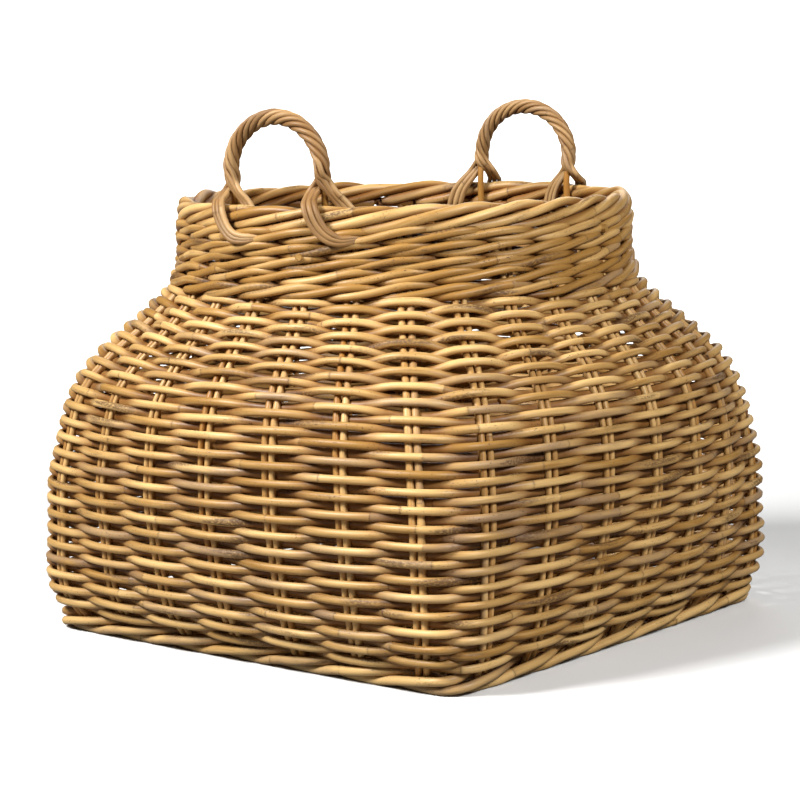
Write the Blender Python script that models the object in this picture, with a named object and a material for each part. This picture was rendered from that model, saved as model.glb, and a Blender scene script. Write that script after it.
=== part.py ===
"""Belly basket: a square woven foot, a swelling belly, a round neck, a rolled border and two roped handles.

Metres, +Z up. The origin is on the floor at the middle of the base, whose sides lie along X and Y.
The front handle stands over the side that faces -Y and the back handle over the side that faces +Y.
Pairs of upright stakes carry the weave. Two belly canes chase each other up the wall, each over one
pair of stakes and behind the next. Three neck canes wale: over two pairs, then behind one.
"""
import math

import bmesh
import bpy
import numpy as np

# Wall, measured at the middle of the stakes
BASE_HALF_SIDE = 0.248
BELLY_HALF_SIDE = 0.308
NECK_RADIUS = 0.223
RIM_HEIGHT = 0.440
NECK_BAND_HEIGHT = 0.062
PAIRS_PER_SIDE = 7

# Stakes, each pair of canes side by side
STAKE_PAIR_HALF_WIDTH = 0.0066
STAKE_HALF_THICKNESS = 0.0030
STAKE_LIFT = 0.0017

# Belly canes
CANE_HALF_THICKNESS = 0.0031
ROW_PITCH = 0.0079
FIRST_ROW_HEIGHT = 0.0255
LONGEST_CANE_PAIRS = 80

# Neck canes
WALE_ROUNDS = 5
WALE_HALF_DEPTH = 0.0029
WALE_HALF_HEIGHT = 0.0021

# Foot and base
FOOT_WALE_DEPTH = 0.0070
FOOT_WALE_HEIGHT = 0.0150
BASE_THICKNESS = 0.0090
BASE_HOLLOW_DEPTH = 0.0026
BASE_RIDGE_HALF_WIDTH = 0.0046

# Rolled border
BORDER_DEPTH = 0.0220
BORDER_HEIGHT = 0.0280

# Handles
HANDLE_RISE = 0.093
FRONT_HANDLE_WIDTH = 0.113
BACK_HANDLE_WIDTH = 0.119
FRONT_FOOT_SPACING = 0.112
BACK_FOOT_SPACING = 0.118
FRONT_HANDLE_TURN = math.radians(2.1)
BACK_HANDLE_TURN = math.radians(-1.8)
ROPE_RADIUS = 0.0082
BOW_RADIUS = 0.0035
BOW_END_DEPTH = 0.0650
TAIL_HALF_WIDTH = 0.0070
TAIL_HALF_THICKNESS = 0.0030
INNER_TAIL_HALF_WIDTH = 0.0050
TAIL_LENGTH = 0.0380
TAIL_SWEEP = 0.0200
ROPE_FOOT_LIFT = 0.0090
CROWN_STEPS = 14
ROPE_SIDES = 6
BORDER_SIDES = 8

# Clearances
GAP = 0.0003
WEAVE_GAP = 0.0006
TAIL_GAP = 0.0022
CANE_END_GAP = 0.0024

# The wall's swell and roundness by height. Heights are shares of the neck foot's height. The swell is the
# share of the way out from the base to the belly, and then from the neck to the belly.
LOWER_WALL_SHARES = ((0.0, 0.0, 0.0), (0.14, 0.56, 0.14), (0.31, 0.83, 0.35), (0.48, 1.0, 0.50))
UPPER_WALL_SHARES = (
    (0.61, 0.98, 0.59), (0.71, 0.89, 0.63), (0.81, 0.65, 0.70),
    (0.91, 0.29, 0.80), (1.0, 0.06, 0.92), (1.08, 0.0, 1.0),
)

# A strand dives between two pairs over this share of their spacing
DIVE_SHARE = 0.65
# Every row climbs to the next over this last share of the round
CLIMB_SHARE = 0.25
# How far the foot's and the base's corners reach, from a straight cut to a full square corner
FOOT_CORNER_SHARE = 0.9
BASE_CORNER_SHARE = 0.35
# How far the rope's tails have drifted to the right at each place, as shares of their sweep
OUTER_TAIL_DRIFT_SHARES = (-0.10, 0.25, 0.45, 0.95, 1.35)
INNER_TAIL_DRIFT_SHARES = (0.25, 0.45, 0.60)
# Where the outer tails bend over the border, as turns up from level
TAIL_BENDS = (math.radians(60.0), math.radians(30.0), math.radians(5.0))
# How much of the handle's rise over the border is its half round crown
CROWN_SHARE = 0.56
SHARP_ANGLE = math.radians(50.0)
MEASURING_STEPS = 200

BORDER_FOOT_HEIGHT = RIM_HEIGHT - BORDER_HEIGHT
NECK_FOOT_HEIGHT = BORDER_FOOT_HEIGHT - NECK_BAND_HEIGHT
CROWN_RISE = HANDLE_RISE * CROWN_SHARE
CROWN_HEIGHT = RIM_HEIGHT + HANDLE_RISE - ROPE_RADIUS - CROWN_RISE
PAIRS = 4 * PAIRS_PER_SIDE
SQUARE_CORNERS = np.array(((1.0, -1.0), (1.0, 1.0), (-1.0, 1.0), (-1.0, -1.0)))
FIRST_PAIR = 3 * PAIRS_PER_SIDE

STRAW = (0.60, 0.40, 0.17, 1.0)
OCHRE = (0.52, 0.32, 0.12, 1.0)
GREY_TAN = (0.40, 0.27, 0.16, 1.0)
DARK_CANE = (0.28, 0.17, 0.08, 1.0)


def clear_scene():
    for thing in list(bpy.data.objects):
        bpy.data.objects.remove(thing, do_unlink=True)


def cane_material(name, colour, roughness):
    material = bpy.data.materials.new(name)
    material.use_nodes = True
    shader = material.node_tree.nodes["Principled BSDF"]
    shader.inputs["Base Color"].default_value = colour
    shader.inputs["Roughness"].default_value = roughness
    shader.inputs["Metallic"].default_value = 0.0
    return material


def smooth_curve(places, knots, values):
    """Smooth curve through the knots that never overshoots them (harmonic mean slopes)."""
    knots, values = np.asarray(knots, float), np.asarray(values, float)
    steps = np.diff(knots)
    rises = np.diff(values) / steps
    slopes = np.zeros(len(knots))
    slopes[0], slopes[-1] = rises[0], rises[-1]
    products = rises[:-1] * rises[1:]
    level = products <= 0
    sums = np.where(level, 1.0, rises[:-1] + rises[1:])
    slopes[1:-1] = np.where(level, 0.0, 2 * products / sums)
    places = np.clip(places, knots[0], knots[-1])
    cell = np.clip(np.searchsorted(knots, places, side="right") - 1, 0, len(knots) - 2)
    share = (places - knots[cell]) / steps[cell]
    start = (1 + 2 * share) * (1 - share) ** 2 * values[cell]
    start += share * (1 - share) ** 2 * steps[cell] * slopes[cell]
    end = share ** 2 * (3 - 2 * share) * values[cell + 1]
    end += share ** 2 * (share - 1) * steps[cell] * slopes[cell + 1]
    return start + end


def wall_size(heights):
    """Half side of the wall at its sides' middles, and its roundness from 0, square, to 1, round."""
    knots, sizes, roundness = [], [], []
    for height_share, swell, round_share in LOWER_WALL_SHARES:
        knots.append(height_share * NECK_FOOT_HEIGHT)
        sizes.append(BASE_HALF_SIDE + (BELLY_HALF_SIDE - BASE_HALF_SIDE) * swell)
        roundness.append(round_share)
    for height_share, swell, round_share in UPPER_WALL_SHARES:
        knots.append(height_share * NECK_FOOT_HEIGHT)
        sizes.append(NECK_RADIUS + (BELLY_HALF_SIDE - NECK_RADIUS) * swell)
        roundness.append(round_share)
    return smooth_curve(heights, knots, sizes), smooth_curve(heights, knots, roundness)


def wall_points(heights):
    """Middle of each pair of stakes at each height: a square blended with a circle."""
    heights = np.asarray(heights, float)
    sizes, roundness = wall_size(heights)
    places = (np.arange(PAIRS) + 0.5) / PAIRS_PER_SIDE
    side = places.astype(int)
    along = (places - side)[:, None]
    square = SQUARE_CORNERS[side] * (1 - along) + SQUARE_CORNERS[(side + 1) % 4] * along
    angles = (places - 0.5) * math.pi / 2
    circle = np.stack((np.cos(angles), np.sin(angles)), -1)
    blend = roundness[:, None, None]
    plan = sizes[:, None, None] * (square * (1 - blend) + circle * blend)
    lift = np.broadcast_to(heights[:, None, None], plan.shape[:2] + (1,))
    return np.concatenate((plan, lift), -1)


def unit(vectors):
    return vectors / np.linalg.norm(vectors, axis=-1, keepdims=True)


STAKE_TOP_HEIGHT = BORDER_FOOT_HEIGHT - GAP
STAKE_LEVEL_SHARES = [row[0] for row in LOWER_WALL_SHARES + UPPER_WALL_SHARES[:-1]]
LEVELS = np.array([share * NECK_FOOT_HEIGHT for share in STAKE_LEVEL_SHARES] + [STAKE_TOP_HEIGHT])
LEVELS[0] = STAKE_LIFT
WALL = wall_points(LEVELS)
AROUND = np.roll(WALL, -1, 1) - np.roll(WALL, 1, 1)
OUTWARD = unit(np.cross(AROUND, np.gradient(WALL, axis=0)))
# The stakes' tops are cut level under the border
OUTWARD[-1] = unit(OUTWARD[-1] * (1.0, 1.0, 0.0))
NEXT_PAIR = unit(np.roll(WALL, -1, 1) - WALL)
LAST_PAIR = unit(np.roll(WALL, 1, 1) - WALL)
NARROWEST = np.linalg.norm(np.roll(WALL, -1, 1) - WALL, axis=-1).min()
# How steeply the wall falls away from each pair's own plane towards its neighbours
FALL = -np.minimum((NEXT_PAIR * OUTWARD).sum(-1), (LAST_PAIR * OUTWARD).sum(-1))


def on_wall(table, pair, height):
    """Reads a table of the wall between its levels and between neighbouring pairs."""
    level = min(max(int(np.searchsorted(LEVELS, height, side="right")) - 1, 0), len(LEVELS) - 2)
    rise = (height - LEVELS[level]) / (LEVELS[level + 1] - LEVELS[level])
    left = math.floor(pair)
    share = pair - left
    column = table[:, left % PAIRS] * (1 - share) + table[:, (left + 1) % PAIRS] * share
    return column[level] * (1 - rise) + column[level + 1] * rise


def skin(name, rings, material, closed=False):
    """One closed body from rings of points: a capped tube, or a closed loop of rings."""
    mesh = bpy.data.meshes.new(name)
    body = bmesh.new()
    rows = [[body.verts.new(point) for point in ring] for ring in rings]
    count = len(rows[0])
    last = len(rows) if closed else len(rows) - 1
    for row in range(last):
        here, there = rows[row], rows[(row + 1) % len(rows)]
        for corner in range(count):
            after = (corner + 1) % count
            body.faces.new((here[corner], here[after], there[after], there[corner]))
    if not closed:
        body.faces.new(rows[0][::-1])
        body.faces.new(rows[-1])
    bmesh.ops.recalc_face_normals(body, faces=body.faces)
    body.to_mesh(mesh)
    body.free()
    mesh.shade_smooth()
    mesh.set_sharp_from_angle(angle=SHARP_ANGLE)
    mesh.materials.append(material)
    thing = bpy.data.objects.new(name, mesh)
    bpy.context.scene.collection.objects.link(thing)
    return thing


def box_section(half_depth, half_height):
    return tuple((half_depth * a, half_height * b) for a, b in ((-1, -1), (1, -1), (1, 1), (-1, 1)))


def round_section(half_depth, half_height, sides):
    turns = [2 * math.pi * (side + 0.5) / sides for side in range(sides)]
    return tuple((half_depth * math.cos(turn), half_height * math.sin(turn)) for turn in turns)


def sweep(name, path, outward, section, material, closed=False):
    """Carries a section along a path. Its first axis keeps to the outward directions."""
    path, outward = np.asarray(path), np.asarray(outward)
    if closed:
        heading = unit(np.roll(path, -1, 0) - np.roll(path, 1, 0))
    else:
        heading = unit(np.gradient(path, axis=0))
    across = unit(outward - (outward * heading).sum(-1, keepdims=True) * heading)
    upward = np.cross(across, heading)
    rings = [[point + a * depth + b * height for depth, height in section]
             for point, a, b in zip(path, across, upward)]
    return skin(name, rings, material, closed)


def climb(count):
    """Rounds climbed after so many pairs: level on three sides, rising on the fourth."""
    share = (count / PAIRS - math.floor(count / PAIRS) - (1 - CLIMB_SHARE)) / CLIMB_SHARE
    share = max(share, 0.0)
    return math.floor(count / PAIRS) + share * share * (3 - 2 * share)


def build_stakes(material):
    section = box_section(STAKE_HALF_THICKNESS, STAKE_PAIR_HALF_WIDTH)
    across = unit(AROUND)
    for pair in range(PAIRS):
        rings = [[WALL[level, pair] + OUTWARD[level, pair] * depth + across[level, pair] * width
                  for depth, width in section] for level in range(len(LEVELS))]
        skin("stake_pair_%02d" % (pair + 1), rings, material)


def row_heights():
    """Heights of the belly rows, evenly spaced along the wall's mean outline."""
    heights = np.linspace(FIRST_ROW_HEIGHT, NECK_FOOT_HEIGHT - ROW_PITCH / 2, MEASURING_STEPS)
    points = wall_points(heights)
    radius = np.linalg.norm(points[..., :2], axis=-1).mean(-1)
    run = np.concatenate(((0.0,), np.cumsum(np.hypot(np.diff(radius), np.diff(heights)))))
    rows = 2 * round((run[-1] / ROW_PITCH + 1) / 2)
    return np.interp(np.linspace(0.0, run[-1], rows), run, heights)


def weave_reach(fall):
    """How far a belly cane's middle stands off the stakes' middle, to clear the pair's edges."""
    near = STAKE_HALF_THICKNESS + GAP + CANE_HALF_THICKNESS
    slant = math.hypot(1.0, 2 * near / NARROWEST + fall)
    edge = STAKE_HALF_THICKNESS + WEAVE_GAP + CANE_HALF_THICKNESS * slant + STAKE_PAIR_HALF_WIDTH * fall
    return edge / (1 - 2 * STAKE_PAIR_HALF_WIDTH / NARROWEST)


def build_belly_canes(material):
    heights = row_heights()
    rounds = len(heights) // 2
    side = PAIRS_PER_SIDE
    tracks = (
        (0, 0, PAIRS * rounds - side // 2 - 1),
        (1, -(side // 2), PAIRS * rounds - side),
    )
    section = box_section(CANE_HALF_THICKNESS, CANE_HALF_THICKNESS)
    number = 0
    for first_row, start, stop in tracks:
        canes = math.ceil((stop - start) / LONGEST_CANE_PAIRS)
        cuts = [start + 2 * round((stop - start) * cane / (2 * canes)) for cane in range(canes + 1)]
        for begin, end in zip(cuts[:-1], cuts[1:]):
            number += 1
            path, outward = [], []
            for count in range(begin, end + 1):
                row = first_row + 2 * climb(count)
                height = np.interp(row, np.arange(len(heights)), heights)
                inside = (count + first_row) % 2 == 0
                pair = FIRST_PAIR + count
                facing = on_wall(OUTWARD, pair, height)
                outward.append(facing)
                reach = -weave_reach(0.0) if inside else weave_reach(on_wall(FALL, pair, height))
                path.append(on_wall(WALL, pair, height) + facing * reach)
            path[0] = path[0] + unit(path[1] - path[0]) * CANE_END_GAP / 2
            path[-1] = path[-1] + unit(path[-2] - path[-1]) * CANE_END_GAP / 2
            sweep("belly_cane_%02d" % number, path, outward, section, material)


def neck_reaches():
    """How far the neck canes' middles stand off the stakes' middle, inside and outside."""
    inner = STAKE_HALF_THICKNESS + WEAVE_GAP + WALE_HALF_DEPTH
    fall = FALL[-1].max()
    edge = STAKE_PAIR_HALF_WIDTH / NARROWEST / DIVE_SHARE
    slant = math.hypot(1.0, 2 * inner / NARROWEST / DIVE_SHARE + fall)
    clear = STAKE_HALF_THICKNESS + WEAVE_GAP + WALE_HALF_DEPTH * slant + STAKE_PAIR_HALF_WIDTH * fall
    return inner, (clear + inner * edge) / (1 - edge)


def build_neck_canes(material):
    """Three canes: two pairs outside, rising from the low place to the high one, then behind one pair."""
    pitch = (BORDER_FOOT_HEIGHT - NECK_FOOT_HEIGHT) / WALE_ROUNDS
    half_step = pitch / 4
    inner, outer = neck_reaches()
    section = box_section(WALE_HALF_DEPTH, WALE_HALF_HEIGHT)
    begin = -(PAIRS_PER_SIDE // 2)
    end = PAIRS * WALE_ROUNDS - PAIRS_PER_SIDE
    for cane in range(3):
        places = []
        for count in range(begin + cane, end - 2 + cane):
            state = (count - cane - begin) % 3
            if state == 2:
                places.append((count - 1 + DIVE_SHARE, -inner, half_step))
                places.append((count + 1 - DIVE_SHARE, -inner, -half_step))
            else:
                places.append((count, outer, half_step if state else -half_step))
        path, outward = [], []
        for count, reach, lift in places:
            height = NECK_FOOT_HEIGHT + pitch * (climb(count) + 0.5) + lift
            pair = FIRST_PAIR + count
            facing = on_wall(OUTWARD, pair, height)
            outward.append(facing)
            path.append(on_wall(WALL, pair, height) + facing * reach)
        sweep("neck_cane_%d" % (cane + 1), path, outward, section, material)


def foot_points(height, offset, corner_share):
    """Points beside the stakes at one height, offset level from their middle plane.

    Outside the stakes, the ring also clears the edges of the pairs beside the corners. Each corner point
    lies that share of the way from the straight cut between its two pairs out to where the sides meet.
    """
    beside = []
    for pair in range(PAIRS):
        facing = on_wall(OUTWARD, pair, height)
        level = np.array((facing[0], facing[1], 0.0))
        slant = np.linalg.norm(level)
        lean = STAKE_PAIR_HALF_WIDTH * on_wall(FALL, pair, height) if offset > 0 else 0.0
        place = on_wall(WALL, pair, height) + level / slant * (offset + lean) / slant
        beside.append(np.array((place[0], place[1], height)))
    ring = []
    for first in range(0, PAIRS, PAIRS_PER_SIDE):
        here, before = beside[first] - beside[first + 1], beside[first - 1] - beside[first - 2]
        reach = np.linalg.norm(beside[first] - beside[first - 1]) / np.linalg.norm(here - before)
        cut = (beside[first] + beside[first - 1]) / 2
        ring.append(cut + (beside[first] + here * reach - cut) * corner_share)
        ring.extend(beside[first:first + PAIRS_PER_SIDE])
    return ring


def build_foot_wale(material):
    near = STAKE_HALF_THICKNESS + WEAVE_GAP
    rings = [foot_points(height, offset, FOOT_CORNER_SHARE) for height, offset in
             ((0.0, near), (0.0, near + FOOT_WALE_DEPTH),
              (FOOT_WALE_HEIGHT, near + FOOT_WALE_DEPTH), (FOOT_WALE_HEIGHT, near))]
    skin("foot_wale", list(zip(*rings)), material, closed=True)


def base_edge(height):
    """The base's edge on the side that faces +X at a height, as points in order along Y."""
    edge = np.array(foot_points(height, -(STAKE_HALF_THICKNESS + GAP), BASE_CORNER_SHARE))
    edge = edge[edge[:, 0] > 0]
    return edge[np.argsort(edge[:, 1])]


def build_base(material):
    """A woven mat that bulges over each of its ribs, which lie along X, and is thin between them."""
    ribs = 2 * PAIRS_PER_SIDE + 1
    half_side = base_edge(0.0)[-1, 1]
    spacing = 2 * half_side / ribs
    stations = [(-half_side, BASE_HOLLOW_DEPTH)]
    for rib in range(ribs):
        middle = (rib + 0.5) * spacing - half_side
        stations.append((middle - BASE_RIDGE_HALF_WIDTH, 0.0))
        stations.append((middle + BASE_RIDGE_HALF_WIDTH, 0.0))
        stations.append((middle + spacing / 2, BASE_HOLLOW_DEPTH))
    rings = []
    for station, (place, hollow) in enumerate(stations):
        ring = []
        for height, sign in ((hollow, -1), (hollow, 1), (BASE_THICKNESS - hollow, 1), (BASE_THICKNESS - hollow, -1)):
            edge = base_edge(height)
            # The two ends lean out with the wall
            along = math.copysign(edge[-1, 1], place) if station in (0, len(stations) - 1) else place
            ring.append((sign * np.interp(along, edge[:, 1], edge[:, 0]), along, height))
        rings.append(ring)
    skin("base_mat", rings, material)


def build_border(material):
    segments = 2 * PAIRS - PAIRS // 2
    middle = (RIM_HEIGHT + BORDER_FOOT_HEIGHT) / 2
    turns = [2 * math.pi * segment / segments for segment in range(segments)]
    path = [(NECK_RADIUS * math.cos(turn), NECK_RADIUS * math.sin(turn), middle) for turn in turns]
    outward = [(math.cos(turn), math.sin(turn), 0.0) for turn in turns]
    flat = math.cos(math.pi / BORDER_SIDES)
    section = round_section(BORDER_DEPTH / 2, BORDER_HEIGHT / 2 / flat, BORDER_SIDES)
    sweep("rim_border", path, outward, section, material, closed=True)


def handle_place(azimuth, radius, tangent, height):
    """A point from its distance to the basket's axis, its place along the handle's plane and its height."""
    depth = math.sqrt(radius ** 2 - tangent ** 2)
    return (
        depth * math.cos(azimuth) - tangent * math.sin(azimuth),
        depth * math.sin(azimuth) + tangent * math.cos(azimuth),
        height,
    )


def loop_places(width, spacing):
    """The handle's middle line from foot to foot as (radius, tangent, height): a round crown on two legs."""
    depth = math.sqrt(crown_radius() ** 2 - (width / 2) ** 2)
    crown = []
    for step in range(CROWN_STEPS + 1):
        turn = math.pi * step / CROWN_STEPS
        tangent = -width / 2 * math.cos(turn)
        height = CROWN_HEIGHT + CROWN_RISE * math.sin(turn)
        crown.append((math.hypot(depth, tangent), tangent, height))
    left, right = [(leg_radius(), sign * spacing / 2, RIM_HEIGHT + ROPE_FOOT_LIFT) for sign in (-1, 1)]
    return [left] + crown + [right]


def leg_radius():
    """The bow's legs stand just inside the border."""
    return NECK_RADIUS - BORDER_DEPTH / 2 - GAP - BOW_RADIUS


def crown_radius():
    """The crown leans out over the border by half the bow's thickness."""
    return leg_radius() + BOW_RADIUS


def place_facing(azimuth, place):
    """The level direction away from the basket's axis at a place."""
    turn = azimuth + math.asin(place[1] / place[0])
    return math.cos(turn), math.sin(turn), 0.0


def leg_place(width, spacing, sign, height):
    """Radius and tangent of the bow's middle at a height between the rope's foot and the crown."""
    foot_height = RIM_HEIGHT + ROPE_FOOT_LIFT
    share = (height - foot_height) / (CROWN_HEIGHT - foot_height)
    radius = leg_radius() + (crown_radius() - leg_radius()) * share
    return radius, sign * (spacing + (width - spacing) * share) / 2


def facing_of(azimuth, places):
    return [(math.cos(azimuth), math.sin(azimuth), 0.0) for place in places]


def build_bow(name, azimuth, width, spacing, material):
    left, right = [(leg_radius(), sign * spacing / 2, RIM_HEIGHT - BOW_END_DEPTH) for sign in (-1, 1)]
    places = [left] + loop_places(width, spacing) + [right]
    path = [handle_place(azimuth, *place) for place in places]
    section = round_section(BOW_RADIUS, BOW_RADIUS, ROPE_SIDES)
    sweep(name, path, facing_of(azimuth, path), section, material)


def pipe(name, path, outward, section, bore, material):
    """A tube with a bore, as one closed skin: out along the outside and back through the bore."""
    path, outward = np.asarray(path), np.asarray(outward)
    heading = unit(np.gradient(path, axis=0))
    across = unit(outward - (outward * heading).sum(-1, keepdims=True) * heading)
    upward = np.cross(across, heading)
    loops = []
    for outline, order in ((section, 1), (bore, -1)):
        for point, a, b in list(zip(path, across, upward))[::order]:
            loops.append([point + a * depth + b * height for depth, height in outline])
    return skin(name, loops, material, closed=True)


def join_by_union(thing, others):
    """Unites the others into the thing with exact Booleans and removes them."""
    for other in others:
        union = thing.modifiers.new("union", "BOOLEAN")
        union.operation = "UNION"
        union.solver = "EXACT"
        union.object = other
        other.hide_render = True
        other.display_type = "WIRE"


def outer_tail(name, azimuth, foot, start, material):
    """Strands that leave the rope's foot, pass over the border and lie on the neck outside."""
    middle = (RIM_HEIGHT + BORDER_FOOT_HEIGHT) / 2
    off = GAP + TAIL_HALF_THICKNESS
    tail_foot = RIM_HEIGHT - TAIL_LENGTH
    wale_face = neck_radius(tail_foot) + neck_reaches()[1] + WALE_HALF_DEPTH + off + GAP
    spots = [(NECK_RADIUS + (BORDER_DEPTH / 2 + off + WEAVE_GAP) * math.cos(bend),
              middle + (BORDER_HEIGHT / 2 + off + WEAVE_GAP) * math.sin(bend)) for bend in TAIL_BENDS]
    spots += [(wale_face, BORDER_FOOT_HEIGHT), (wale_face, tail_foot)]
    places = [(start[0] + BOW_RADIUS + 2 * GAP + TAIL_HALF_THICKNESS, start[1], start[2])]
    for (radius, height), drift in zip(spots, OUTER_TAIL_DRIFT_SHARES):
        places.append((radius, foot + TAIL_SWEEP * drift, height))
    path = [handle_place(azimuth, *place) for place in places]
    normals = []
    for before, place, after in zip([places[0]] + places[:-1], places, places[1:] + [places[-1]]):
        run, drop = after[0] - before[0], after[2] - before[2]
        facing = place_facing(azimuth, place)
        normals.append((-drop * facing[0], -drop * facing[1], run))
    return sweep(name, path, normals, box_section(TAIL_HALF_THICKNESS, TAIL_HALF_WIDTH), material)


def inner_tail(name, azimuth, foot, start, material):
    """Strands that leave the rope's foot and lie inside the border beside the bow."""
    aside = BOW_RADIUS + TAIL_GAP + INNER_TAIL_HALF_WIDTH
    radius = NECK_RADIUS - BORDER_DEPTH / 2 - 3 * GAP - TAIL_HALF_THICKNESS
    heights = (RIM_HEIGHT, BORDER_FOOT_HEIGHT, RIM_HEIGHT - TAIL_LENGTH)
    places = [(start[0], start[1] + aside, start[2])]
    for height, drift in zip(heights, INNER_TAIL_DRIFT_SHARES):
        places.append((radius, foot + aside + TAIL_SWEEP * drift, height))
    path = [handle_place(azimuth, *place) for place in places]
    section = box_section(TAIL_HALF_THICKNESS, INNER_TAIL_HALF_WIDTH)
    outward = [place_facing(azimuth, place) for place in places]
    return sweep(name, path, outward, section, material)


def neck_radius(height):
    """Largest distance of the stakes' middles from the basket's axis at a height on the neck."""
    return max(np.linalg.norm(on_wall(WALL, pair, height)[:2]) for pair in range(PAIRS))


def build_roping(name, azimuth, width, spacing, material):
    path = [handle_place(azimuth, *place) for place in loop_places(width, spacing)]
    bore_radius = (BOW_RADIUS + GAP) / math.cos(math.pi / ROPE_SIDES)
    outline = round_section(ROPE_RADIUS, ROPE_RADIUS, ROPE_SIDES)
    bore = round_section(bore_radius, bore_radius, ROPE_SIDES)
    rope = pipe(name, path, facing_of(azimuth, path), outline, bore, material)
    tails = []
    for foot_name, sign in (("left", -1), ("right", 1)):
        foot = sign * spacing / 2
        start_height = RIM_HEIGHT + ROPE_FOOT_LIFT + ROPE_RADIUS
        start = leg_place(width, spacing, sign, start_height) + (start_height,)
        tails.append(outer_tail("%s_%s_outer_tail" % (name, foot_name), azimuth, foot, start, material))
        tails.append(inner_tail("%s_%s_inner_tail" % (name, foot_name), azimuth, foot, start, material))
    join_by_union(rope, tails)


def main():
    clear_scene()
    straw = cane_material("straw_cane", STRAW, 0.45)
    ochre = cane_material("ochre_cane", OCHRE, 0.5)
    grey_tan = cane_material("grey_tan_cane", GREY_TAN, 0.55)
    dark = cane_material("dark_cane", DARK_CANE, 0.6)
    build_stakes(ochre)
    build_belly_canes(straw)
    build_neck_canes(straw)
    build_foot_wale(ochre)
    build_base(dark)
    build_border(straw)
    quarter = math.pi / 2
    handles = (
        ("front_handle", FRONT_HANDLE_TURN - quarter, FRONT_HANDLE_WIDTH, FRONT_FOOT_SPACING),
        ("back_handle", BACK_HANDLE_TURN + quarter, BACK_HANDLE_WIDTH, BACK_FOOT_SPACING),
    )
    for name, azimuth, width, spacing in handles:
        build_bow(name + "_bow", azimuth, width, spacing, ochre)
        build_roping(name + "_roping", azimuth, width, spacing, grey_tan)


main()
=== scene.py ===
"""Looks of the belly basket: round canes woven on the packed frame, on a plain studio stage.

Metres, +Z up, in the frame's own axes. Along the wall, a place counts stake pairs from the corner at
+X -Y towards +Y, and pair k stands at place k + 0.5. Counts along a weaver start at pair FIRST_PAIR.
"""
import math

import bpy
import numpy as np
from bpy.props import FloatProperty, FloatVectorProperty, PointerProperty
from mathutils import Matrix, Vector


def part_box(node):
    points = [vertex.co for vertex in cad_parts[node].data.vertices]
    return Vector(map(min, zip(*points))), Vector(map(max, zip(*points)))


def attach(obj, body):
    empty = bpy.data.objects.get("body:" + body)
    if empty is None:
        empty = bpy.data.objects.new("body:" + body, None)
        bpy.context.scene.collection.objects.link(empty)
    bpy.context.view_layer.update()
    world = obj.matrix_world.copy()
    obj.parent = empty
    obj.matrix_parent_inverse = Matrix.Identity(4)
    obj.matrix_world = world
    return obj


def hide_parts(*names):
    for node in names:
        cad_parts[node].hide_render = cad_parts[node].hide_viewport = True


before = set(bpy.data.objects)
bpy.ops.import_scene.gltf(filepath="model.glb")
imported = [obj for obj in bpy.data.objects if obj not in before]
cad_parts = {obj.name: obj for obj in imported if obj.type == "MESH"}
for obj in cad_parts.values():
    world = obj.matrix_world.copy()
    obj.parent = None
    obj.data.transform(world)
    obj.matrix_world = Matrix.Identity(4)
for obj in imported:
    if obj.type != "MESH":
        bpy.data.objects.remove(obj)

bl_info = {
    "name": "Belly Basket",
    "version": (1, 0, 0),
    "blender": (4, 5, 0),
    "location": "View3D > Sidebar > Basket",
    "description": "Weaves the canes of a belly basket over its packed frame",
    "category": "Object",
}

PAIRS_PER_SIDE = 7
PAIRS = 4 * PAIRS_PER_SIDE
FIRST_PAIR = 3 * PAIRS_PER_SIDE
LONGEST_CANE_PAIRS = 80
WALE_ROUNDS = 5
BORDER_SPAN_PAIRS = 5.0
ROPE_STRANDS = 6
CANE_SIDES = 10
POINTS_PER_PAIR = 8
UPWARD = (0.0, 0.0, 1.0)

# Height as a share of the neck foot's height, swell as a share of the way out to the belly, roundness
LOWER_WALL_SHARES = ((0.0, 0.0, 0.0), (0.14, 0.56, 0.14), (0.31, 0.83, 0.35), (0.48, 1.0, 0.50))
UPPER_WALL_SHARES = (
    (0.61, 0.98, 0.59), (0.71, 0.89, 0.63), (0.81, 0.65, 0.70),
    (0.91, 0.29, 0.80), (1.0, 0.06, 0.92), (1.08, 0.0, 1.0),
)
# Share of a distance from the weave's middle that counts on the inside of the basket, which paints more shade
# on the inside
INSIDE_SHARE = 0.6
# Every row climbs to the next over this last share of the round
CLIMB_SHARE = 0.25
# Pairs along the wall and metres up it, by which its directions are measured
STEP_ALONG, STEP_UP = 0.15, 0.002
# Waves of hand-made unevenness: metres, waves round the wall, radians to the metre up it, and start
SWAY_WAVES = ((0.0011, 3, 9, 0.0), (0.0008, 5, -14, 1.3), (0.0004, 8, 20, 0.4))

# A growth joint swells by a share of the radius, over a half width, under a dark ring of its own half width
JOINT_SWELL_SHARE = 0.07
JOINT_HALF_WIDTH = 0.001
JOINT_RING_HALF_WIDTH = 0.0013
JOINT_POINTS = np.array((-0.0025, -0.0009, 0.0, 0.0009, 0.0025))
# A cane's radius changes slowly by this share over this run, and from joint to joint by up to the third
GIRTH_CHANGE_SHARE, GIRTH_CHANGE_RUN, GIRTH_STEP_SHARE = 0.035, 0.13, 0.03
TONE_CHANGE_SHARE, TONE_CHANGE_RUN = 0.45, 0.10
# A cane tapers over this share of its run at both ends
TAPER_SHARE = 0.04
# Gaps between joints and before the first one, as shares of the mean gap, and none within this of the end
JOINT_GAP_SHARES, FIRST_JOINT_SHARES, JOINT_END_GAP = (0.6, 1.4), (0.2, 0.9), 0.01
# How grey a weathered stretch is, and the farthest metre at which a cane's skin may start
GREY_RANGE, LAST_RUN_START = (0.4, 1.0), 40.0
# Edges sharper than this aren't smoothed, such as those round the canes' ends
SHARP_ANGLE = math.radians(62.0)
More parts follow.
